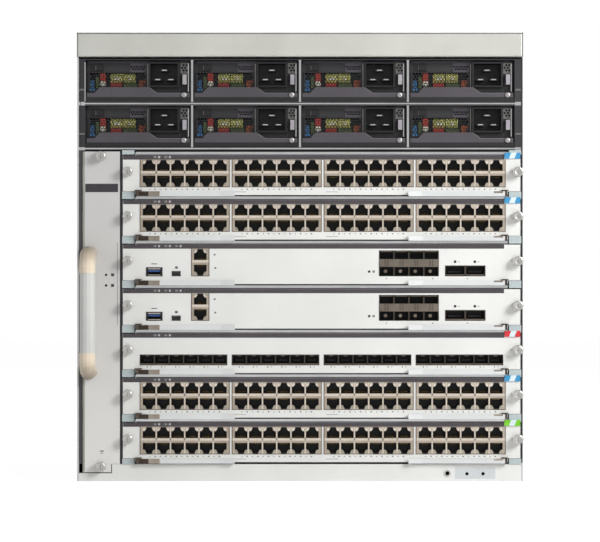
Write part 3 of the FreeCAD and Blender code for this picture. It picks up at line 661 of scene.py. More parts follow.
# %% [markdown]
# ### Copies
# Like pieces on several bodies share one mesh, so a change of one changes all. Points that lie on
# each other are welded, which lets the bevel run round a corner.

# %% Place copies
WELD_REACH = 0.002


def place_copy(name, mesh, body, slot, at=(0, 0, 0), bevel=0.0):
    """One object of a mesh, riding on a body."""
    made = bpy.data.objects.new(name, mesh)
    made.location = Vector(at) * MM
    bpy.context.scene.collection.objects.link(made)
    weld = made.modifiers.new("weld", "WELD")
    weld.merge_threshold = WELD_REACH * MM
    if bevel:
        edge = made.modifiers.new("edge", "BEVEL")
        edge.width = bevel * MM
        edge.segments = 2
        edge.limit_method = "ANGLE"
    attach(made, body)
    return made


def on_cards(work, prefix, cards, slot):
    """The same piece on several cards, each at the foot of its slot."""
    mesh = None
    for card in cards:
        place = (0, FRONT, slot_bottom(card))
        if mesh:
            place_copy(prefix + card, mesh, card, slot, place)
        else:
            mesh = work.done(prefix + card, card, slot, place).data
    print(prefix + "*:", len(cards), "pieces of", len(work.faces), "faces")


# %% [markdown]
# ## Honeycomb
# Air goes in through honeycomb screens, punched or folded from thin sheet. A screen could be a picture
# with holes, but holes cut in the mesh show the parts behind and catch light on their walls. Cells that
# cross the screen's border stay closed, and are clipped to it, as a punched sheet leaves them.

# %% Honeycomb screens
def clipped(corners, low, high):
    """Part of a convex outline that lies in a rectangle."""
    for axis in (0, 1):
        for limit, sign in ((low[axis], 1), (high[axis], -1)):
            kept = []
            for here, then in zip(corners, corners[1:] + corners[:1]):
                a = (here[axis] - limit) * sign
                b = (then[axis] - limit) * sign
                if a >= 0:
                    kept.append(here)
                if a * b < 0:
                    share = a / (a - b)
                    kept.append(tuple(p + (q - p) * share for p, q in zip(here, then)))
            corners = kept
            if len(corners) < 3:
                return []
    return corners


def hexagon(centre, radius):
    turns = [math.radians(30 + 60 * corner) for corner in range(6)]
    return [(centre[0] + radius * math.cos(t), centre[1] + radius * math.sin(t)) for t in turns]


def honeycomb(work, low, high, depths, pitch, web, finish, place):
    """Screen between two corners, with its front and back depth; place turns it into the room."""
    front, back = depths
    outer = pitch / math.sqrt(3)
    inner = (pitch - web) / math.sqrt(3)
    step = pitch * math.sqrt(3) / 2
    rows = int((high[1] - low[1]) / step) + 2
    columns = int((high[0] - low[0]) / pitch) + 2
    for row in range(rows):
        for column in range(-1, columns):
            centre = (low[0] + (column + 0.5 + (row % 2) / 2) * pitch, low[1] + (row + 0.25) * step)
            rim = hexagon(centre, outer)
            if not all(low[k] <= p[k] <= high[k] for p in rim for k in (0, 1)):
                left = clipped(rim, low, high)
                if left:
                    work.face([place(a, b, front) for a, b in left], finish)
                continue
            hole = hexagon(centre, inner)
            for here in range(6):
                then = (here + 1) % 6
                work.face([place(*rim[here], front), place(*rim[then], front),
                           place(*hole[then], front), place(*hole[here], front)], finish)
                work.face([place(*hole[here], front), place(*hole[then], front),
                           place(*hole[then], back), place(*hole[here], back)], finish)


def upright(a, b, depth):
    """Screen that faces the front: across, up, depth."""
    return (a, depth, b)


def sideways(a, b, depth):
    """Screen that faces a side: depth, along, up."""
    return (depth, a, b)


# %% [markdown]
# ## Power supply fronts
# Behind each screen sit the parts of a converter: a green board on edge, yellow green wound chokes, red
# and orange capacitors, a blue one. They are simple forms, as only spots of their colour come through.
# One mesh of each piece is made, and the eight supplies share it.

# %% Colours inside the supplies
# Enamelled copper wire: glossy yellow green turns, the brightest spots behind the screen.
coil_yellow = coated("enamelled_choke_winding", "#F4F09A", "#B4C04A", 0.22)
# Dipped film capacitors: glossy red and orange blocks, which read as two warm spots.
cap_red = moulded("red_film_capacitor", "#D8432F", "#A82E22", 0.35)
cap_orange = moulded("orange_film_capacitor", "#E07A3C", "#B4552A", 0.35)
# A dipped disc capacitor: a blue spot in the low left corner.
cap_blue = moulded("blue_disc_capacitor", "#3A86C4", "#286594", 0.35)
# Near white discs: small painted highlights on the fronts of the chokes' turns, and a larger white disc on
# the tall red capacitor.
resin_white_and_painted_highlight = moulded("white_resin_and_painted_highlight", "#FBF9E4", "#ECE9D2", 0.4)
# Moulded bobbins: olive, so they fill the gaps with a quiet tone.
heat_green = moulded("olive_moulded_bobbin", "#6E8250", "#55663C", 0.45)
# Satin zinc of the small knob on the fascia: a soft grey ball.
knob_grey = plated("satin_zinc_knob", "#B4B0B3", "#A19DA0", 0.4)
print("finishes:", len(bpy.data.materials))

# %% [markdown]
# ### Screens of a supply
# Four screens close a supply's front: a wide one, a fine one beside the switch, a low one under the
# inlet and a small one in the corner. Sizes run from the lower left corner of the supply's front. The
# fine screen's real cells are smaller, and are drawn at 2.6 mm so that they show.

# %% Screens of a supply
SCREEN_DEPTH = (9.3, 9.75)
WIDE_SCREEN = ((1.6, 8.9), (59.4, 29.7))
FINE_SCREEN = ((43.0, 29.7), (59.4, 38.5))
LOW_SCREEN = ((62.6, 8.9), (101.4, 13.4))
CORNER_SCREEN = ((92.9, 28.0), (101.4, 38.5))
CELL, WEB = 3.0, 0.62
FINE_CELL, FINE_WEB = 2.6, 0.75
CORNER_WEB = 0.9

screen = Workpiece()
honeycomb(screen, *WIDE_SCREEN, SCREEN_DEPTH, CELL, WEB, screen_dark, upright)
honeycomb(screen, *FINE_SCREEN, SCREEN_DEPTH, FINE_CELL, FINE_WEB, screen_mauve, upright)
honeycomb(screen, *LOW_SCREEN, SCREEN_DEPTH, CELL, WEB, screen_dark, upright)
honeycomb(screen, *CORNER_SCREEN, SCREEN_DEPTH, CELL, CORNER_WEB, bracket_grey, upright)
print("screen faces:", len(screen.faces))

# %% Parts behind the screen
BLOCKS = {
    "board on edge": ((2.2, 58.8), (36.0, 37.4), (14.2, 29.0), board_green),
    "blue part in the low corner": ((1.7, 8.0), (9.78, 9.98), (9.0, 13.6), cap_blue),
    "blue capacitor": ((1.8, 7.6), (10.6, 22.0), (13.8, 22.0), cap_blue),
    "narrow bobbin": ((9.0, 12.4), (11.0, 24.0), (14.0, 25.0), heat_green),
    "tall red capacitor": ((13.2, 18.8), (10.8, 26.0), (16.4, 28.2), cap_red),
    "red capacitor under the chokes": ((23.6, 34.4), (10.8, 24.0), (14.4, 18.2), cap_red),
    "bobbin under the chokes": ((36.4, 50.0), (13.0, 24.0), (14.2, 17.8), heat_green),
    "orange capacitor": ((51.6, 58.6), (11.4, 22.0), (14.4, 21.8), cap_orange),
}
CHOKE_STARTS = (23.4, 36.2)
CHOKE_TURNS, CHOKE_PITCH = 8, 1.5
CHOKE_AXIS = (16.6, 23.6)
TURN = [(4.6, -0.7), (5.4, -0.35), (5.4, 0.35), (4.6, 0.7)]

inside = Workpiece()
for x, y, z, finish in BLOCKS.values():
    inside.box(x, y, z, finish)
for start in CHOKE_STARTS:
    for turn in range(CHOKE_TURNS):
        inside.turned(TURN, (start + CHOKE_PITCH * (turn + 0.5), *CHOKE_AXIS), "x", coil_yellow, 20)
inside.turned([(2.6, 0.0), (3.1, 0.5), (3.1, 1.6)], (16.0, 10.5, 18.0), "y", resin_white_and_painted_highlight, 16)
# Painted highlights on the fronts of the chokes.
for x in (28.4, 31.6, 42.4):
    inside.turned([(1.2, 0.0), (1.6, 0.4), (1.6, 1.2)], (x, 10.5, 23.4), "y", resin_white_and_painted_highlight, 12)
print("blocks behind a screen:", len(BLOCKS), "choke turns:", len(CHOKE_STARTS) * CHOKE_TURNS)

# %% Fittings on a supply front
PROUD = (-0.06, 0.0)
TRIMS = {
    "post beside the inlet": ((60.0, 61.2), (9.2, 10.0), (14.6, 38.2), bracket_grey),
    "frame of the switch": ((4.4, 17.0), (9.5, 10.0), (30.2, 37.2), inlet_black),
    "line on the switch": ((8.9, 9.5), (9.42, 9.5), (31.6, 36.0), bracket_grey),
    "frame over the screens": ((1.7, 101.4), (9.6, 10.0), (38.5, 40.3), strip_mauve),
    "short line on the fascia": ((16.6, 17.0), PROUD, (8.8, 14.0), strip_mauve),
    "long line on the fascia": ((24.8, 25.2), PROUD, (4.6, 14.1), strip_mauve),
    "shade under the lip": ((1.2, 101.8), (-0.05, 0.0), (0.2, 0.9), inlet_black),
    "mauve upright": ((92.0, 92.6), (8.6, 9.3), (10.4, 38.0), screen_mauve),
    "bright upright": ((100.3, 101.2), (8.6, 9.3), (10.4, 38.0), edge_chrome),
}
INLET_MIDDLE = 76.9
PIN_PLACES = ((-6.5, 22.0), (6.5, 22.0), (0.0, 31.2))
PIN_HALF = 2.4
FASCIA_RAMP_HIGHLIGHT = [(61.6, 14.2), (62.3, 14.2), (70.2, 8.5), (101.6, 8.5), (101.6, 8.0), (69.8, 8.0)]
PRINT_PLACES = ((56.4, 11.6), (59.0, 11.6), (56.0, 8.9), (58.2, 8.9), (60.4, 8.9))
KNOB_PLACE = (96.6, 0.0, 6.45)
KNOB = [(2.62, 0.0), (2.62, -1.2), (2.2, -1.6), (1.2, -1.75)]

fittings = Workpiece()
for x, y, z, finish in TRIMS.values():
    fittings.box(x, y, z, finish)
# Painted glints: bright bars at the ends of the pins, which stay black in the solid.
for x, z in PIN_PLACES:
    pin = (INLET_MIDDLE + x - PIN_HALF, INLET_MIDDLE + x + PIN_HALF)
    fittings.box(pin, (9.2, 9.38), (z - 0.25, z + 0.75), pin_painted_glint)
# A painted highlight in grey along the fascia's ramp and its foot.
fittings.prism(FASCIA_RAMP_HIGHLIGHT, "y", -0.07, 0.0, bracket_grey)
for x, z in PRINT_PLACES:
    fittings.box((x - 0.6, x + 0.6), (-0.07, 0.0), (z - 0.45, z + 0.45), strip_mauve)
fittings.turned(KNOB, KNOB_PLACE, "y", knob_grey, 24)
print("trims on a front:", len(TRIMS))

# %% Dress the eight supplies
shared = {}
for number, supply in enumerate(SUPPLIES, 1):
    corner = box_mm(supply)[0]
    place = (corner.x, FRONT, corner.z)
    for prefix, work, slot, bevel in (("screen_", screen, "dark_paint", 0.0),
                                      ("converter_parts_", inside, "circuit_board", 0.15),
                                      ("front_fittings_", fittings, "dark_paint", 0.0)):
        name = prefix + str(number)
        if prefix in shared:
            place_copy(name, shared[prefix], supply, slot, place, bevel)
        else:
            shared[prefix] = work.done(name, supply, slot, place, bevel).data
print("dressed", len(SUPPLIES), "supplies")

# %% [markdown]
# ## Card strips, tabs and lamps
# A mauve grey strip runs along the top of every card face. It holds small lamps. Coloured tabs at the
# right end tell which cards go where. They are thin plates, a little proud of the face, so they keep
# their own edge highlights.

# %% Strip and lamps
STRIP = (35.2, 39.15)
STRIP_TOP = 40.4
STRIP_END = 201.2
GASKET_INSET = 13.0
LAMP_START, LAMP_PITCH, LAMP_HEIGHT = -142.9, 10.6, 37.7
# White screen print beside the lamps, a little grey as it is small.
print_white = moulded("white_screen_print", "#BDB9BB", "#ACA8AA", 0.55)
# Grey lamp lenses, glossier than print.
lens_grey = moulded("grey_lamp_lens", "#8E8E8C", "#7C7C7A", 0.25)


def card_strip(groups):
    """Strip with lamps and small round marks."""
    work = Workpiece()
    gasket = (CARD_LEFT + GASKET_INSET, CARD_RIGHT - GASKET_INSET)
    work.box((CARD_LEFT + 0.3, STRIP_END), (-0.18, 0.02), STRIP, strip_mauve)
    work.box(gasket, (1.2, 1.6), (STRIP[1], STRIP_TOP), strip_mauve)
    work.box(gasket, (1.3, 1.6), (42.0, 42.9), edge_chrome)
    for group in range(groups):
        left = LAMP_START + group * LAMP_PITCH
        lamp_z = (LAMP_HEIGHT - 0.9, LAMP_HEIGHT + 0.9)
        work.box((left - 1.3, left + 1.3), (-0.26, -0.18), lamp_z, lens_grey)
        work.turned([(1.2, 0.0), (1.2, -0.08)], (left + 4.0, -0.18, LAMP_HEIGHT), "y", print_white, 6)
    return work


strips = {}
for card in CARDS:
    groups = 3 if card in SUPERVISORS else 2
    place = (0, FRONT, slot_bottom(card))
    if groups in strips:
        place_copy("strip_" + card, strips[groups], card, "faceplate_paint", place)
    else:
        strips[groups] = card_strip(groups).done("strip_" + card, card, "faceplate_paint", place).data
print("strips:", len(CARDS), "with", sorted(strips), "groups of lamps")

# %% Coloured tabs
# Pale print on the tapes: a slanted band that splits each tab.
tab_pale = moulded("pale_tab_print", "#DCEBF0", "#CFE0E6", 0.5)
TAB_X = (201.6, 217.2)
TAB_Z = (36.2, 42.0)
TAB_FOOT = 39.0
BAND_X = (206.0, 211.4)
BAND_LEAN = 2.2
TAPES = {"line_card_1": tape_blue, "line_card_2": tape_blue, "line_card_6": tape_blue,
         "fibre_card_5": tape_red, "line_card_7": tape_green}
for card, tape in TAPES.items():
    tab = Workpiece()
    tab.box(TAB_X, (-1.5, -1.15), TAB_Z, tape)
    tab.box(TAB_X, (-1.15, 0.0), (TAB_Z[0], TAB_FOOT), tape)
    band = [(BAND_X[0], TAB_Z[0]), (BAND_X[1], TAB_Z[0]),
            (BAND_X[1] + BAND_LEAN, TAB_Z[1]), (BAND_X[0] + BAND_LEAN, TAB_Z[1])]
    tab.prism(band, "y", -1.54, -1.5, tab_pale)
    tab.done("slot_tab_" + card, card, "indicator", (0, FRONT, slot_bottom(card)))
print("tabs:", len(TAPES))

# %% [markdown]
# ## Copper sockets
# A socket for a network plug is a black cavity with a narrow notch for the plug's latch, in a tinned
# shell that is folded from one sheet. Eight gold wires lie over the side away from the notch. The
# solids have one plain mouth for each socket. Fillers beside the notch give it its stepped outline.

# %% Mouth of one copper socket
JACK_HALF, JACK_BAR, JACK_BODY, JACK_NOTCH = 5.95, 2.6, 6.2, 3.4
JACK_BOTTOM, JACK_TALL, JACK_PITCH = 8.1, 27.2, 14.05
JACK_MIDDLE = JACK_BOTTOM + JACK_TALL / 2
NOTCH_HALF = 2.9
STEP_HALF, STEP_UP = (4.6, 3.5), (0.4, 1.6)
LINE = (-0.36, -0.3)
SKIN = (-0.34, -0.3)
WIRES, WIRE_PITCH, WIRE_HALF = 8, 1.02, (0.2, 0.14)
# Cut and folded edges of the shell: darker than its face, so banks get an outline.
shell_edge = plated("folded_shell_edge", "#8A7D70", "#776A5E", 0.45)
# The shell's front between the rows: the palest beige, painted light where it faces the lamps.
shell_front_painted_light = coated("tinned_shell_front_painted_light", "#E3D8C9", "#D4C8B9", 0.3, metallic=0.4)
# Painted light on the shoulders of the upper row, and painted shade on those of the lower row.
shell_painted_light = plated("tinned_shell_painted_light", "#F0E7DB", "#DCD0C2", 0.36)
shell_painted_shade = plated("tinned_shell_painted_shade", "#BBB4A5", "#A8A193", 0.4)


def jack_mouth(work, x, side):
    """Fillers beside the latch notch, and the gold wires; side is 1 in the upper row."""
    near = JACK_MIDDLE + side * JACK_BAR
    shoulder = near + side * JACK_BODY
    far = shoulder + side * JACK_NOTCH
    # Upper shoulders take the painted light, lower ones the painted shade.
    shoulder_finish = shell_painted_light if side > 0 else shell_painted_shade
    for way in (-1, 1):
        outline = [(x + way * JACK_HALF, shoulder + side * STEP_UP[0]),
                   (x + way * STEP_HALF[0], shoulder + side * STEP_UP[0]),
                   (x + way * STEP_HALF[1], shoulder + side * STEP_UP[1]),
                   (x + way * NOTCH_HALF, far), (x + way * JACK_HALF, far)]
        work.prism(outline, "y", SKIN[0], 7.5, shoulder_finish)
        edge = sorted((x + way * JACK_HALF, x + way * (JACK_HALF + 0.3)))
        work.box(edge, LINE, sorted((near, shoulder)), socket_black)
    work.box((x - 6.1, x + 6.1), LINE, sorted((near, near - side * 0.25)), socket_black)
    work.box((x - 2.8, x + 2.8), LINE, sorted((far, far + side * 1.1)), socket_black)
    height = near + side * 1.1
    for wire in range(WIRES):
        place = x + (wire - (WIRES - 1) / 2) * WIRE_PITCH
        work.box((place - WIRE_HALF[0], place + WIRE_HALF[0]), (7.0, 12.0),
                 (height - WIRE_HALF[1], height + WIRE_HALF[1]), contact_gold)


def jack_bank(work, left, width, columns):
    """A bank of sockets in two rows, with its folded edges and middle bar."""
    first = left + (width - (columns - 1) * JACK_PITCH) / 2
    low, high = JACK_BOTTOM, JACK_BOTTOM + JACK_TALL
    bar = (JACK_MIDDLE - 0.2, JACK_MIDDLE + 2.3)
    for column in range(columns):
        for side in (-1, 1):
            jack_mouth(work, first + column * JACK_PITCH, side)
    for edge in (left, left + width - 0.7):
        work.box((edge, edge + 0.7), LINE, (low, high), shell_edge)
    work.box((left, left + width), LINE, (low, low + 0.6), shell_edge)
    # The bar between the rows and the lines between the columns carry the shell's painted light.
    work.box((left + 0.7, left + width - 0.7), SKIN, bar, shell_front_painted_light)
    for column in range(columns - 1):
        line = first + (column + 0.5) * JACK_PITCH
        work.box((line - 0.55, line + 0.55), SKIN, (low + 0.6, high - 0.6), shell_front_painted_light)


# %% Copper banks on the line cards
BANKS = [-157.9 + 90.7 * bank for bank in range(4)]
BANK_WIDTH = 88.5
BANK_COLUMNS = 6
banks = Workpiece()
for left in BANKS:
    jack_bank(banks, left, BANK_WIDTH, BANK_COLUMNS)
on_cards(banks, "sockets_", COPPER, "connector_shell")

# %% [markdown]
# ## Fibre cages and service ports
# A cage for a pluggable module is thin sprung metal. Its edges carry fingers that touch the module. The
# stacked cages of a supervisor have a band of fingers between the rows. A service port beside them has
# a blue tongue, and one small port has a plain grey one.

# %% Cage fronts of the fibre card
# Sprung copper alloy: brown grey fingers just inside each mouth.
cage_brown = plated("sprung_copper_alloy_cage", "#8F867B", "#766D63", 0.38)
CAGE_PITCH = 14.35
CAGE_LOW, CAGE_HIGH = 8.1, 18.5
FINGER = (0.72, 1.5)
cages = Workpiece()
for left in BANKS:
    for column in range(BANK_COLUMNS):
        x = left + column * CAGE_PITCH
        sill = (CAGE_LOW + FINGER[0], CAGE_LOW + FINGER[1])
        roof = (CAGE_HIGH - FINGER[1], CAGE_HIGH - FINGER[0])
        cages.box((x + 0.5, x + CAGE_PITCH - 0.5), (0.4, 9.0), sill, cage_brown)
        cages.box((x + 5.4, x + 8.9), (1.2, 4.0), roof, cage_brown)
        connector = (CAGE_LOW + 3.6, CAGE_LOW + 5.4)
        cages.box((x + 3.0, x + CAGE_PITCH - 3.0), (15.0, 16.0), connector, mark_grey)
on_cards(cages, "cage_fronts_", FIBRE, "connector_shell")

# %% Stacked cages and wide cages of the supervisors
STACK_LEFT, STACK_PITCH, STACK_COLUMNS = CARD_LEFT + 252.7, 14.7, 4
FINGER_BAND = (17.2, 24.9)
BAND_ROWS, BAND_STEP = 5, 1.35
QUAD_LEFT, QUAD_PITCH = CARD_LEFT + 317.8, 19.85
PAIR_LEFT, PAIR_WIDTH = CARD_LEFT + 67.5, 17.7

BAND_FACE, SLIT_FACE = -0.7, -0.76
SLITS = ((5.4, 6.6), (8.1, 9.3))

ports = Workpiece()
jack_bank(ports, PAIR_LEFT, PAIR_WIDTH, 1)
# Two light guides in the top corners of the socket pair, in the olive of the shell's painted shade.
for corner in (PAIR_LEFT + 1.1, PAIR_LEFT + 13.9):
    ports.box((corner, corner + 2.6), (-0.42, -0.3), (32.4, 34.6), shell_painted_shade)
# Slits between the fingers of the band, the round lock of each cage, and a finger in its roof.
for column in range(STACK_COLUMNS):
    x = STACK_LEFT + column * STACK_PITCH
    for line in range(BAND_ROWS):
        z = FINGER_BAND[0] + 1.2 + line * BAND_STEP
        for low, high in SLITS:
            ports.box((x + low, x + high), (SLIT_FACE, BAND_FACE), (z, z + 0.6), socket_black)
    ports.turned([(1.7, 0.0), (1.7, 3.0)], (x + 6.4, 3.4, 13.0), "y", cage_brown, 16)
    ports.box((x + 1.4, x + 13.3), (0.6, 8.0), (32.0, 32.7), cage_brown)
# The band itself, in lengths that meet over the walls of the cages.
for column in range(STACK_COLUMNS + 1):
    x = STACK_LEFT + column * STACK_PITCH
    low = max(x - 7.3, STACK_LEFT + 0.2)
    high = min(x + 7.3, STACK_LEFT + STACK_COLUMNS * STACK_PITCH - 0.2)
    ports.box((low, high), (BAND_FACE, -0.3), FINGER_BAND, cage_brown)
# A finger on the sill of each wide cage, and the connector deep in it.
for column in range(2):
    x = QUAD_LEFT + column * QUAD_PITCH
    ports.box((x + 1.2, x + QUAD_PITCH - 1.2), (0.6, 9.0), (9.0, 9.7), cage_brown)
    ports.box((x + 3.4, x + QUAD_PITCH - 3.4), (14.0, 16.0), (11.6, 13.2), mark_grey)
print("faces of the cages:", len(ports.faces))

# %% Service ports
USB = (CARD_LEFT + 23.0, CARD_LEFT + 39.0)
SMALL_PORT = (CARD_LEFT + 48.3, CARD_LEFT + 57.0)
RIM = (-0.4, -0.3)
usb_rim = [((USB[0], USB[0] + 1.7), (8.1, 16.7)), ((USB[1] - 1.7, USB[1]), (8.1, 16.7)),
           ((USB[0] + 1.7, USB[1] - 1.7), (8.1, 9.9)), ((USB[0] + 1.7, USB[1] - 1.7), (14.9, 16.7))]
small_rim = [((SMALL_PORT[0], SMALL_PORT[0] + 1.3), (8.1, 13.0)),
             ((SMALL_PORT[1] - 1.3, SMALL_PORT[1]), (8.1, 13.0)),
             (SMALL_PORT, (8.1, 8.9)), (SMALL_PORT, (12.3, 13.0))]
for x, z in usb_rim:
    ports.box(x, RIM, z, socket_black)
for x, z in small_rim:
    ports.box(x, RIM, z, label_dark)
ports.box((USB[0] + 2.2, USB[1] - 2.2), (0.6, 12.0), (12.3, 14.4), usb_blue)
# Pale lines of the shell's painted light at the top and foot of the port's mouth.
for z in ((15.0, 15.7), (9.0, 9.5)):
    ports.box((USB[0] + 1.9, USB[1] - 1.9), (-0.44, -0.4), z, shell_front_painted_light)
ports.box((SMALL_PORT[0] + 1.6, SMALL_PORT[1] - 1.6), (1.0, 7.0), (9.9, 11.2), label_dark)
on_cards(ports, "ports_", SUPERVISORS, "connector_shell")

# %% [markdown]
# ## Lamps and small printed marks
# Every port has its lamp and small print near it. The print stands for no sign or word here: short
# bars and dots of the same size and grey carry the look.

# %% Two kinds of mark
MARK = (-0.05, 0.01)


def dot(work, x, z, radius):
    """A round lamp, a hair proud of the face."""
    work.turned([(radius, 0.01), (radius, -0.06)], (x, 0.0, z), "y", lens_smoke, 12)


def dash(work, x, z, width, height, finish=mark_grey):
    """A short bar of print."""
    work.box((x - width / 2, x + width / 2), MARK, (z - height / 2, z + height / 2), finish)


# %% Marks on the copper and fibre cards
MARK_PITCH = 10.56
copper_marks = Workpiece()
fibre_marks = Workpiece()
for left in BANKS:
    for column in range(7):
        x = left + 9.8 + column * MARK_PITCH
        dash(copper_marks, x, 5.9, 1.1, 0.7)
        dash(copper_marks, x + MARK_PITCH / 2, 6.0, 1.5, 1.0)
    dash(copper_marks, left + 8.0, 3.4, 12.0, 0.4, lens_grey)
    for column in range(BANK_COLUMNS):
        x = left + 9.1 + column * JACK_PITCH
        dot(fibre_marks, x - 1.8, 6.4, 0.6)
        dash(fibre_marks, x + 1.6, 6.4, 1.8, 0.5, lens_grey)
on_cards(copper_marks, "marks_", COPPER, "indicator")
on_cards(fibre_marks, "marks_", FIBRE, "indicator")

# %% Marks on the supervisors
PORT_PRINT = (CARD_LEFT + 31.0, CARD_LEFT + 52.8)
PAIR_PRINT = ((-84.2, 29.3), (-83.5, 16.1))

supervisor_marks = Workpiece()
dash(supervisor_marks, PORT_PRINT[0], 20.2, 5.6, 0.9)
dash(supervisor_marks, PORT_PRINT[1], 16.6, 2.6, 2.2)
dash(supervisor_marks, PORT_PRINT[1], 16.6, 1.4, 1.2, face_white)
for x, z in PAIR_PRINT:
    dash(supervisor_marks, x, z, 1.8, 1.6)
dot(supervisor_marks, 68.2, 12.6, 1.3)
dash(supervisor_marks, 72.6, 12.6, 2.4, 2.2, lens_grey)
for lamp, print_at in ((152.9, 156.6), (172.4, 176.0)):
    dot(supervisor_marks, lamp, 22.3, 1.4)
    dash(supervisor_marks, print_at, 22.3, 1.6, 0.6, lens_grey)
for x in (STACK_LEFT + 7.3, STACK_LEFT + 53.0, QUAD_LEFT + 22.0):
    dash(supervisor_marks, x, 5.6, 1.4, 0.8)
on_cards(supervisor_marks, "marks_", SUPERVISORS, "indicator")

# %% [markdown]
# ## Screws and levers
# A captive thumbscrew has a knurled rim for the fingers and a slot for a driver. The knurl is a ring
# whose every second side stands a little higher. The levers' roots are painted brown and their arms
# pale, as painted reflections of what is in front of them.

# %% Thumbscrew heads
SCREW_LENGTH = 9.0
SHANK_END = -2.7
KNURLS, KNURL_HEIGHT = 56, 0.14
SCREW_RISE = 23.2
CARD_SCREW, CARD_SCREW_INSET = 4.7, (4.9, 3.5)
TRAY_SCREW, TRAY_SCREW_X, TRAY_SCREW_Z = 4.8, -196.3, (14.5, 320.2)


def screw_head(radius):
    """Knurled grip, turned crown and a slot, which is a flat grey bar of painted shade."""
    work = Workpiece()
    tip = -SCREW_LENGTH
    grip = [(radius + 0.05, SHANK_END), (radius + 0.05, tip + 0.6)]
    crown = [(radius + 0.05, tip + 0.6), (radius - 0.35, tip - 0.1), (radius - 1.5, tip - 0.1),
             (radius - 1.7, tip), (1.4, tip - 0.02)]
    work.turned(grip, (0, 0, 0), "y", screw_nickel, KNURLS, KNURL_HEIGHT)
    work.turned(crown, (0, 0, 0), "y", screw_nickel, 40)
    # The slot is drawn as a flat grey bar: painted shade for its hollow.
    work.box((-0.4, 0.4), (tip - 0.14, tip), (2.4 - radius, radius - 2.4), knob_grey)
    return work


mesh = None
for card in CARDS:
    height = slot_bottom(card) + SCREW_RISE
    for side, x in (("left", CARD_LEFT + CARD_SCREW_INSET[0]), ("right", CARD_RIGHT - CARD_SCREW_INSET[1])):
        name = "screw_" + side + "_" + card
        if mesh:
            place_copy(name, mesh, card, "nickel_plate", (x, FRONT, height))
        else:
            mesh = screw_head(CARD_SCREW).done(name, card, "nickel_plate", (x, FRONT, height)).data
low_screw = screw_head(TRAY_SCREW).done("tray_screw_low", "fan_tray", "nickel_plate",
                                        (TRAY_SCREW_X, FRONT, TRAY_SCREW_Z[0]))
place_copy("tray_screw_high", low_screw.data, "fan_tray", "nickel_plate",
           (TRAY_SCREW_X, FRONT, TRAY_SCREW_Z[1]))
print("screws:", 2 * len(CARDS) + 2)

# %% [markdown]
# ### Lever cheeks
# A lever's front slopes back towards its tip. Thin skins on it follow the slope and carry the two
# painted reflection tones near the pin, where a change of finish on the solid alone would be too coarse.

# %% Lever cheeks
CHEEK_ROOT, CHEEK_SLOPE, CHEEK_REACH = -5.5, 1.8, 81.0
CHEEK_HEIGHT, TIP_HEIGHT = (0.05, 4.75), (3.0, 4.75)
PIN_INSET = 15.5


def cheek(work, side, start, end, finish, height):
    """Thin skin on the front of a lever, from its pin towards its tip."""
    def face_at(along):
        return CHEEK_ROOT + CHEEK_SLOPE * min(along, CHEEK_REACH) / CHEEK_REACH

    low, high = sorted((-side * start, -side * end))
    outline = [(low, face_at(abs(low)) - 0.06), (high, face_at(abs(high)) - 0.06),
               (high, face_at(abs(high)) + 0.02), (low, face_at(abs(low)) + 0.02)]
    work.prism(outline, "z", *height, finish)


CHEEKS = {"left": (-1, CARD_LEFT + PIN_INSET, [(0.0, 10.0, lever_painted_dark_reflection, CHEEK_HEIGHT),
                                               (10.0, 21.0, lever_painted_pale_reflection, CHEEK_HEIGHT)]),
          "right": (1, CARD_RIGHT - PIN_INSET, [(3.0, 12.0, lever_painted_pale_reflection, TIP_HEIGHT)])}
for word, (side, x, skins) in CHEEKS.items():
    skin = Workpiece()
    for start, end, finish, height in skins:
        cheek(skin, side, start, end, finish, height)
    skin.turned([(1.1, 4.8), (1.1, 4.9)], (0, -3.0, 0), "z", socket_black, 16)
    mesh = None
    for card in CARDS:
        place = (x, FRONT, slot_bottom(card) - LEVER_DROP)
        body = card + "_lever_" + word
        if mesh:
            place_copy("cheek_" + body, mesh, body, "nickel_plate", place)
        else:
            mesh = skin.done("cheek_" + body, body, "nickel_plate", place).data
print("cheeks:", 2 * len(CARDS))

# %% [markdown]
# ## Fan tray and chassis details
# The fan tray has a dark blank plate near its top, two lamps beside the grip, and a folded seam. The
# side panels are punched with fields of hexagons, and each field is a screen in a window of the solid.

# %% Fan tray
PLATE_X, PLATE_Z = (-211.6, -179.4), (285.0, 293.2)
TRAY_LAMPS = (203.4, 192.9)
SEAM_Z = (154.0, 235.4)
TRAY_EDGE_X, TRAY_EDGE_Z = (-214.3, -212.3), (9.2, 325.0)

tray = Workpiece()
tray.box(PLATE_X, (-0.3, 0.0), PLATE_Z, label_dark)
for z in TRAY_LAMPS:
    dot(tray, -191.2, z, 1.3)
    dash(tray, -184.8, z, 3.2, 3.0)
    dash(tray, -184.8, z, 1.6, 1.2, tray_painted_bounce)
tray.box((-180.3, -179.9), PROUD, SEAM_Z, mark_grey)
# The rolled edge of the panel: a strip of painted shade.
tray.box(TRAY_EDGE_X, PROUD, TRAY_EDGE_Z, rolled_edge_painted_shade)
dash(tray, -195.4, 29.6, 3.6, 1.2)
dash(tray, -195.4, 27.4, 2.4, 0.7)
tray.done("tray_plate_and_lamps", "fan_tray", "faceplate_paint", (0, FRONT, 0))
print("tray faces:", len(tray.faces))

# %% Air screens
VENTS = [(52 + 74 * column, 96 + 74 * column) for column in range(4)]
VENT_HALF = 16
VENT_MIDDLES = [slot_bottom(card) + 21.95 for card in CARDS]
VENT_CELL, VENT_WEB = 6.4, 1.3
SHEET_INSET, SHEET = 0.3, 0.9


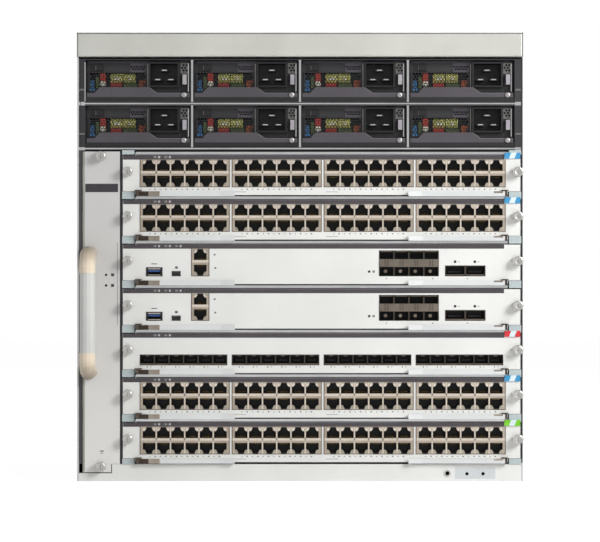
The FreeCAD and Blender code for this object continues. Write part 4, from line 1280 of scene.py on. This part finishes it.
def vent_field(name, x, thickness):
    """Screens in all the windows of one upright sheet."""
    work = Workpiece()
    for middle in VENT_MIDDLES:
        for start, end in VENTS:
            honeycomb(work, (start, middle - VENT_HALF), (end, middle + VENT_HALF), (0.0, thickness),
                      VENT_CELL, VENT_WEB, panel_grey, sideways)
    work.done(name, "chassis", "galvanised_steel", (x, FRONT, 0))
    print(name, "has", len(work.faces), "faces")


vent_field("left_air_screen", PANEL_LOW.x + SHEET_INSET, SHEET)
vent_field("right_air_screen", RIGHT_HIGH.x - SHEET_INSET, -SHEET)

# %% [markdown]
# ### Lines of the front frame
# Where two sheets meet, the eye sees a dark joint or a bright cut edge less than a millimetre wide.
# They are thin strips on the frame: beside the dividers, along the bezel and round the notch at the
# fan tray's foot. Dark lines of painted shade run along the shelf, the deck and the right panel's
# edge, and dark sheets of painted shade fill the gaps beside the fan tray. The ground pad is a bare
# patch with two holes.

# %% Lines of the front frame
JOINT = (-0.12, 0.02)
THIN = (-0.08, 0.02)
CAGE_HALF = 212.0
POST_X = (212.4, 217.6)
DIVIDERS = (-106.4, 0.0, 106.4)
BAYS = ((329.3, 370.4), (374.0, 414.0))
BEZEL_FACE = (-4.06, -4.0)
BEZEL_TALL = 24.0

frame_marks = Workpiece()
# Grey seams across the side posts, then lines round the bays: painted shade along the deck and the shelf,
# and joints beside the dividers.
for z in (386.0, 342.4):
    for post in (POST_X, (-POST_X[1], -POST_X[0])):
        frame_marks.box(post, (-0.1, 0.02), (z - 0.7, z + 0.7), bracket_grey)
frame_marks.box((-212.4, -211.5), JOINT, (374.5, 413.0), edge_chrome)
for z in ((326.2, 327.2), (328.6, 329.2), (370.6, 371.6), (372.9, 373.8)):
    frame_marks.box((-CAGE_HALF, CAGE_HALF), JOINT, z, screen_dark)
for divider in DIVIDERS:
    for bay in BAYS:
        for x in (divider - 1.65, divider + 0.95):
            frame_marks.box((x, x + 0.7), JOINT, bay, screen_dark)
# Dark sheets of painted shade in the gaps on both sides of the fan tray, and the notch at its foot.
frame_marks.box((-177.4, FAN_WALL), (0.3, 8.0), (17.0, 325.6), screen_dark)
frame_marks.box((-217.9, -214.9), (1.2, 1.6), (17.0, 325.6), strip_mauve)
frame_marks.box((-218.0, -185.4), THIN, (7.8, 8.5), label_dark)
frame_marks.box((-186.0, -185.4), THIN, (8.5, 16.7), label_dark)
# The folds of the bezel, and the front edges of both side panels; the right one is a dark line of painted
# shade.
frame_marks.box((CASE_LEFT, CASE_RIGHT), BEZEL_FACE, (CASE_TOP - 1.6, CASE_TOP - 0.6), bracket_grey)
for x in (CASE_LEFT, CASE_RIGHT - 0.8):
    frame_marks.box((x, x + 0.8), BEZEL_FACE, (CASE_TOP - BEZEL_TALL, CASE_TOP), bracket_grey)
frame_marks.box((CASE_RIGHT - 1.9, CASE_RIGHT - 0.2), PROUD, (18.0, CASE_TOP - 24.4), screen_dark)
frame_marks.box((-216.5, -216.0), (-0.06, 0.02), (330.0, 414.5), screen_dark)
print("frame faces:", len(frame_marks.faces))

# %% Ground pad
PAD_X, PAD_Z = (152.8, 192.6), (2.2, 13.6)
PAD_HOLES = [(163.0, 166.4), (178.8, 182.3)]
HOLE_Z = (5.5, 8.9)
for z in ((PAD_Z[0], HOLE_Z[0]), (HOLE_Z[1], PAD_Z[1])):
    frame_marks.box(PAD_X, PROUD, z, pad_nickel)
for x in ((PAD_X[0], PAD_HOLES[0][0]), (PAD_HOLES[0][1], PAD_HOLES[1][0]), (PAD_HOLES[1][1], PAD_X[1])):
    frame_marks.box(x, PROUD, HOLE_Z, pad_nickel)
frame_marks.done("front_frame_marks", "chassis", "dark_paint", (0, FRONT, 0))
print("ground pad", round(PAD_X[1] - PAD_X[0], 1), "mm wide, with", len(PAD_HOLES), "holes")
